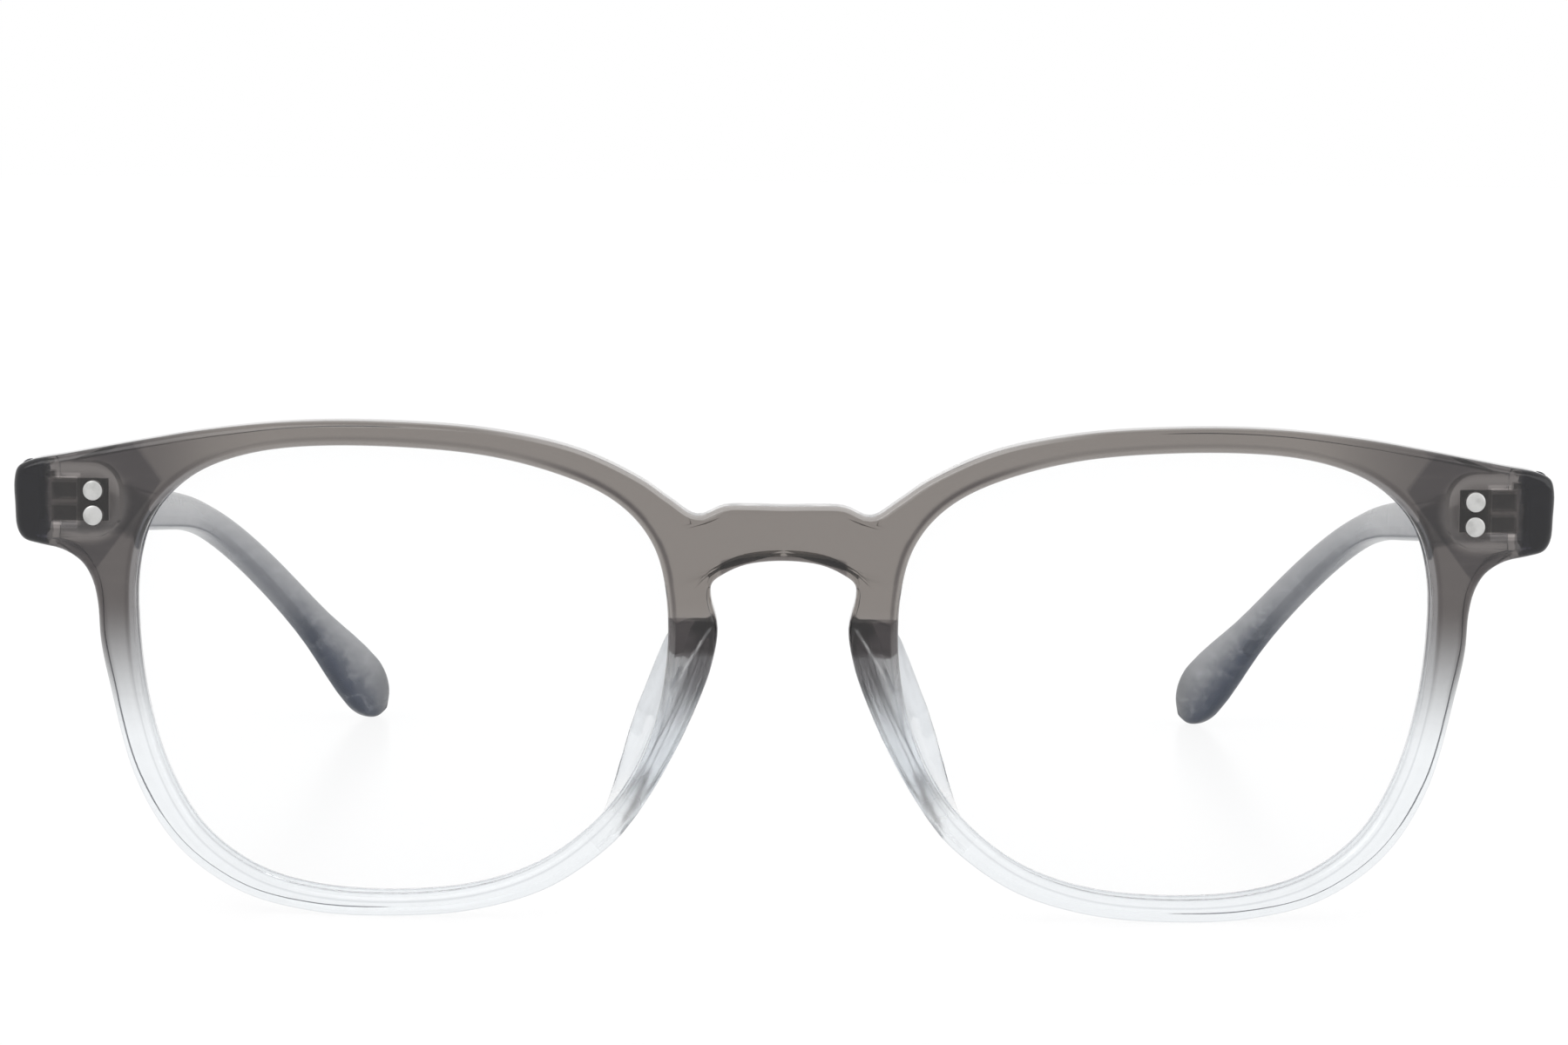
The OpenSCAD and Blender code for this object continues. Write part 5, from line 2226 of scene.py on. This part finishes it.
@dataclass(frozen=True)
class Lamp:
    """A soft square lamp: its place and width in metres, and its power in watts."""

    name: str
    spot: Triple
    size: float
    power: float


@dataclass
class Studio:
    """Camera, lamps, world and floor."""

    back: float
    reference_depth: float = 2.3
    distance: float = 408.28
    height: float = 74.4
    pitch: float = 5.278
    roll: float = 0.494
    lens: float = 103.22
    floor_share: float = 0.82
    floor_glow: float = 1.05
    floor_gloss: float = 0.22
    floor_reach: float = 4000.0
    ambient: float = 0.62
    aim: Triple = (0, 0, 0.02)
    lamps: tuple[Lamp, ...] = (
        Lamp("key", (-0.45, -0.6, 0.7), 0.6, 1.8),
        Lamp("fill", (0.7, -0.35, 0.35), 0.6, 1.0),
        Lamp("back", (0.1, 0.5, 0.9), 0.8, 0.6),
    )

    def camera(self) -> None:
        """Camera at the photograph's viewing angle."""
        data = bpy.data.cameras.new("camera")
        data.sensor_width, data.lens = 36.0, self.lens
        data.clip_start, data.clip_end = 0.01, 50.0
        obj = bpy.data.objects.new("camera", data)
        bpy.context.scene.collection.objects.link(obj)
        reference_y = self.reference_depth - self.back
        spot = Matrix.Translation(Vector((0, reference_y - self.distance, self.height)) * MM)
        tilt = Matrix.Rotation(math.radians(90 - self.pitch), 4, "X")
        obj.matrix_world = spot @ tilt @ Matrix.Rotation(math.radians(self.roll), 4, "Z")
        bpy.context.scene.camera = obj

    def light(self, lamp: Lamp) -> None:
        """Set up a lamp, aimed at the glasses.

        Args:
            lamp: Name, size, power and place of the lamp.
        """
        data = bpy.data.lights.new(lamp.name, "AREA")
        data.size, data.energy = lamp.size, lamp.power
        obj = bpy.data.objects.new(lamp.name, data)
        bpy.context.scene.collection.objects.link(obj)
        obj.location = lamp.spot
        way = Vector(self.aim) - Vector(lamp.spot)
        obj.rotation_euler = way.to_track_quat("-Z", "Y").to_euler()

    def seen(self, graph: Graph) -> Sig:
        """Share of rays that show the background: from the camera, a mirror or clear plastic.

        Args:
            graph: The node tree that uses the share.

        Returns:
            The share, from 0 to 1.
        """
        path = graph.node("ShaderNodeLightPath")
        rays = [graph.out(path, f"Is {kind} Ray") for kind in ("Camera", "Glossy", "Transmission")]
        return graph.clamp(rays[0] + rays[1] + rays[2])

    def world(self) -> None:
        """White surroundings, with a plainer level for the light that they give."""
        world = bpy.data.worlds.new("surroundings")
        world.use_nodes = True
        world.node_tree.nodes.clear()
        graph = Graph(world.node_tree)
        strength = self.seen(graph) * (1 - self.ambient) + self.ambient
        light = graph.node("ShaderNodeBackground", inputs={"Color": WHITE, "Strength": strength})
        graph.node("ShaderNodeOutputWorld", inputs={"Surface": graph.out(light)})
        bpy.context.scene.world = world

    def floor(self, level: float) -> None:
        """Plain white floor that keeps the glasses' shadow and a faint reflection.

        Args:
            level: Height of the floor, in millimetres.
        """
        reach = self.floor_reach
        corners_xy = box_outline(-reach, reach, -reach, reach)
        obj = mesh_object("floor", np.array([(x, y, level) for x, y in corners_xy]), [(0, 1, 2, 3)])
        material = bpy.data.materials.new("white_sweep")
        material.use_nodes = True
        material.node_tree.nodes.clear()
        graph = Graph(material.node_tree)
        lit = graph.node("ShaderNodeBsdfPrincipled", inputs={
            "Base Color": WHITE, "Roughness": self.floor_gloss, "Specular IOR Level": 0.5})
        bright = graph.node("ShaderNodeEmission", inputs={"Color": WHITE, "Strength": self.floor_glow})
        mixed = graph.node("ShaderNodeMixShader", inputs={
            0: self.seen(graph) * self.floor_share, 1: graph.out(lit), 2: graph.out(bright)})
        graph.node("ShaderNodeOutputMaterial", inputs={"Surface": graph.out(mixed)})
        obj.data.materials.append(material)
        obj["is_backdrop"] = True

    def build(self, level: float) -> None:
        """Set up the whole studio on a floor at a height in millimetres.

        Args:
            level: Height of the floor, in millimetres.
        """
        bpy.context.scene.view_settings.view_transform = "Standard"
        self.camera()
        self.world()
        self.floor(level)
        for lamp in self.lamps:
            self.light(lamp)


def corners() -> list[list[float]]:
    """Lowest and highest corner of everything that belongs to the glasses."""
    return [[float(v) for v in corner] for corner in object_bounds()]


def main() -> None:
    """Build the glasses and the studio, piece by piece."""
    logging.basicConfig(level=logging.INFO, format="%(name)s: %(message)s")
    cad = corners()
    finishes = Finishes()
    finishes.build()
    trees = Trees()
    shape = FrontShape()
    pieces = [AcetateFront(shape, finishes).build()]
    for side in Side:
        pieces.append(Lens(shape, finishes, side).build())
        pieces.append(NosePad(shape, finishes, side).build())
    pieces += Temple(TempleShape(shape), finishes, trees).build()
    pieces += HingeHardware(shape, finishes, trees).build()
    for piece in pieces:
        LOG.info("%s: %d faces", piece.name, len(piece.data.polygons))
    Studio(shape.back).build(cad[0][2] / MM)
    LOG.info("box %s", corners())


if __name__ == "__main__":
    main()
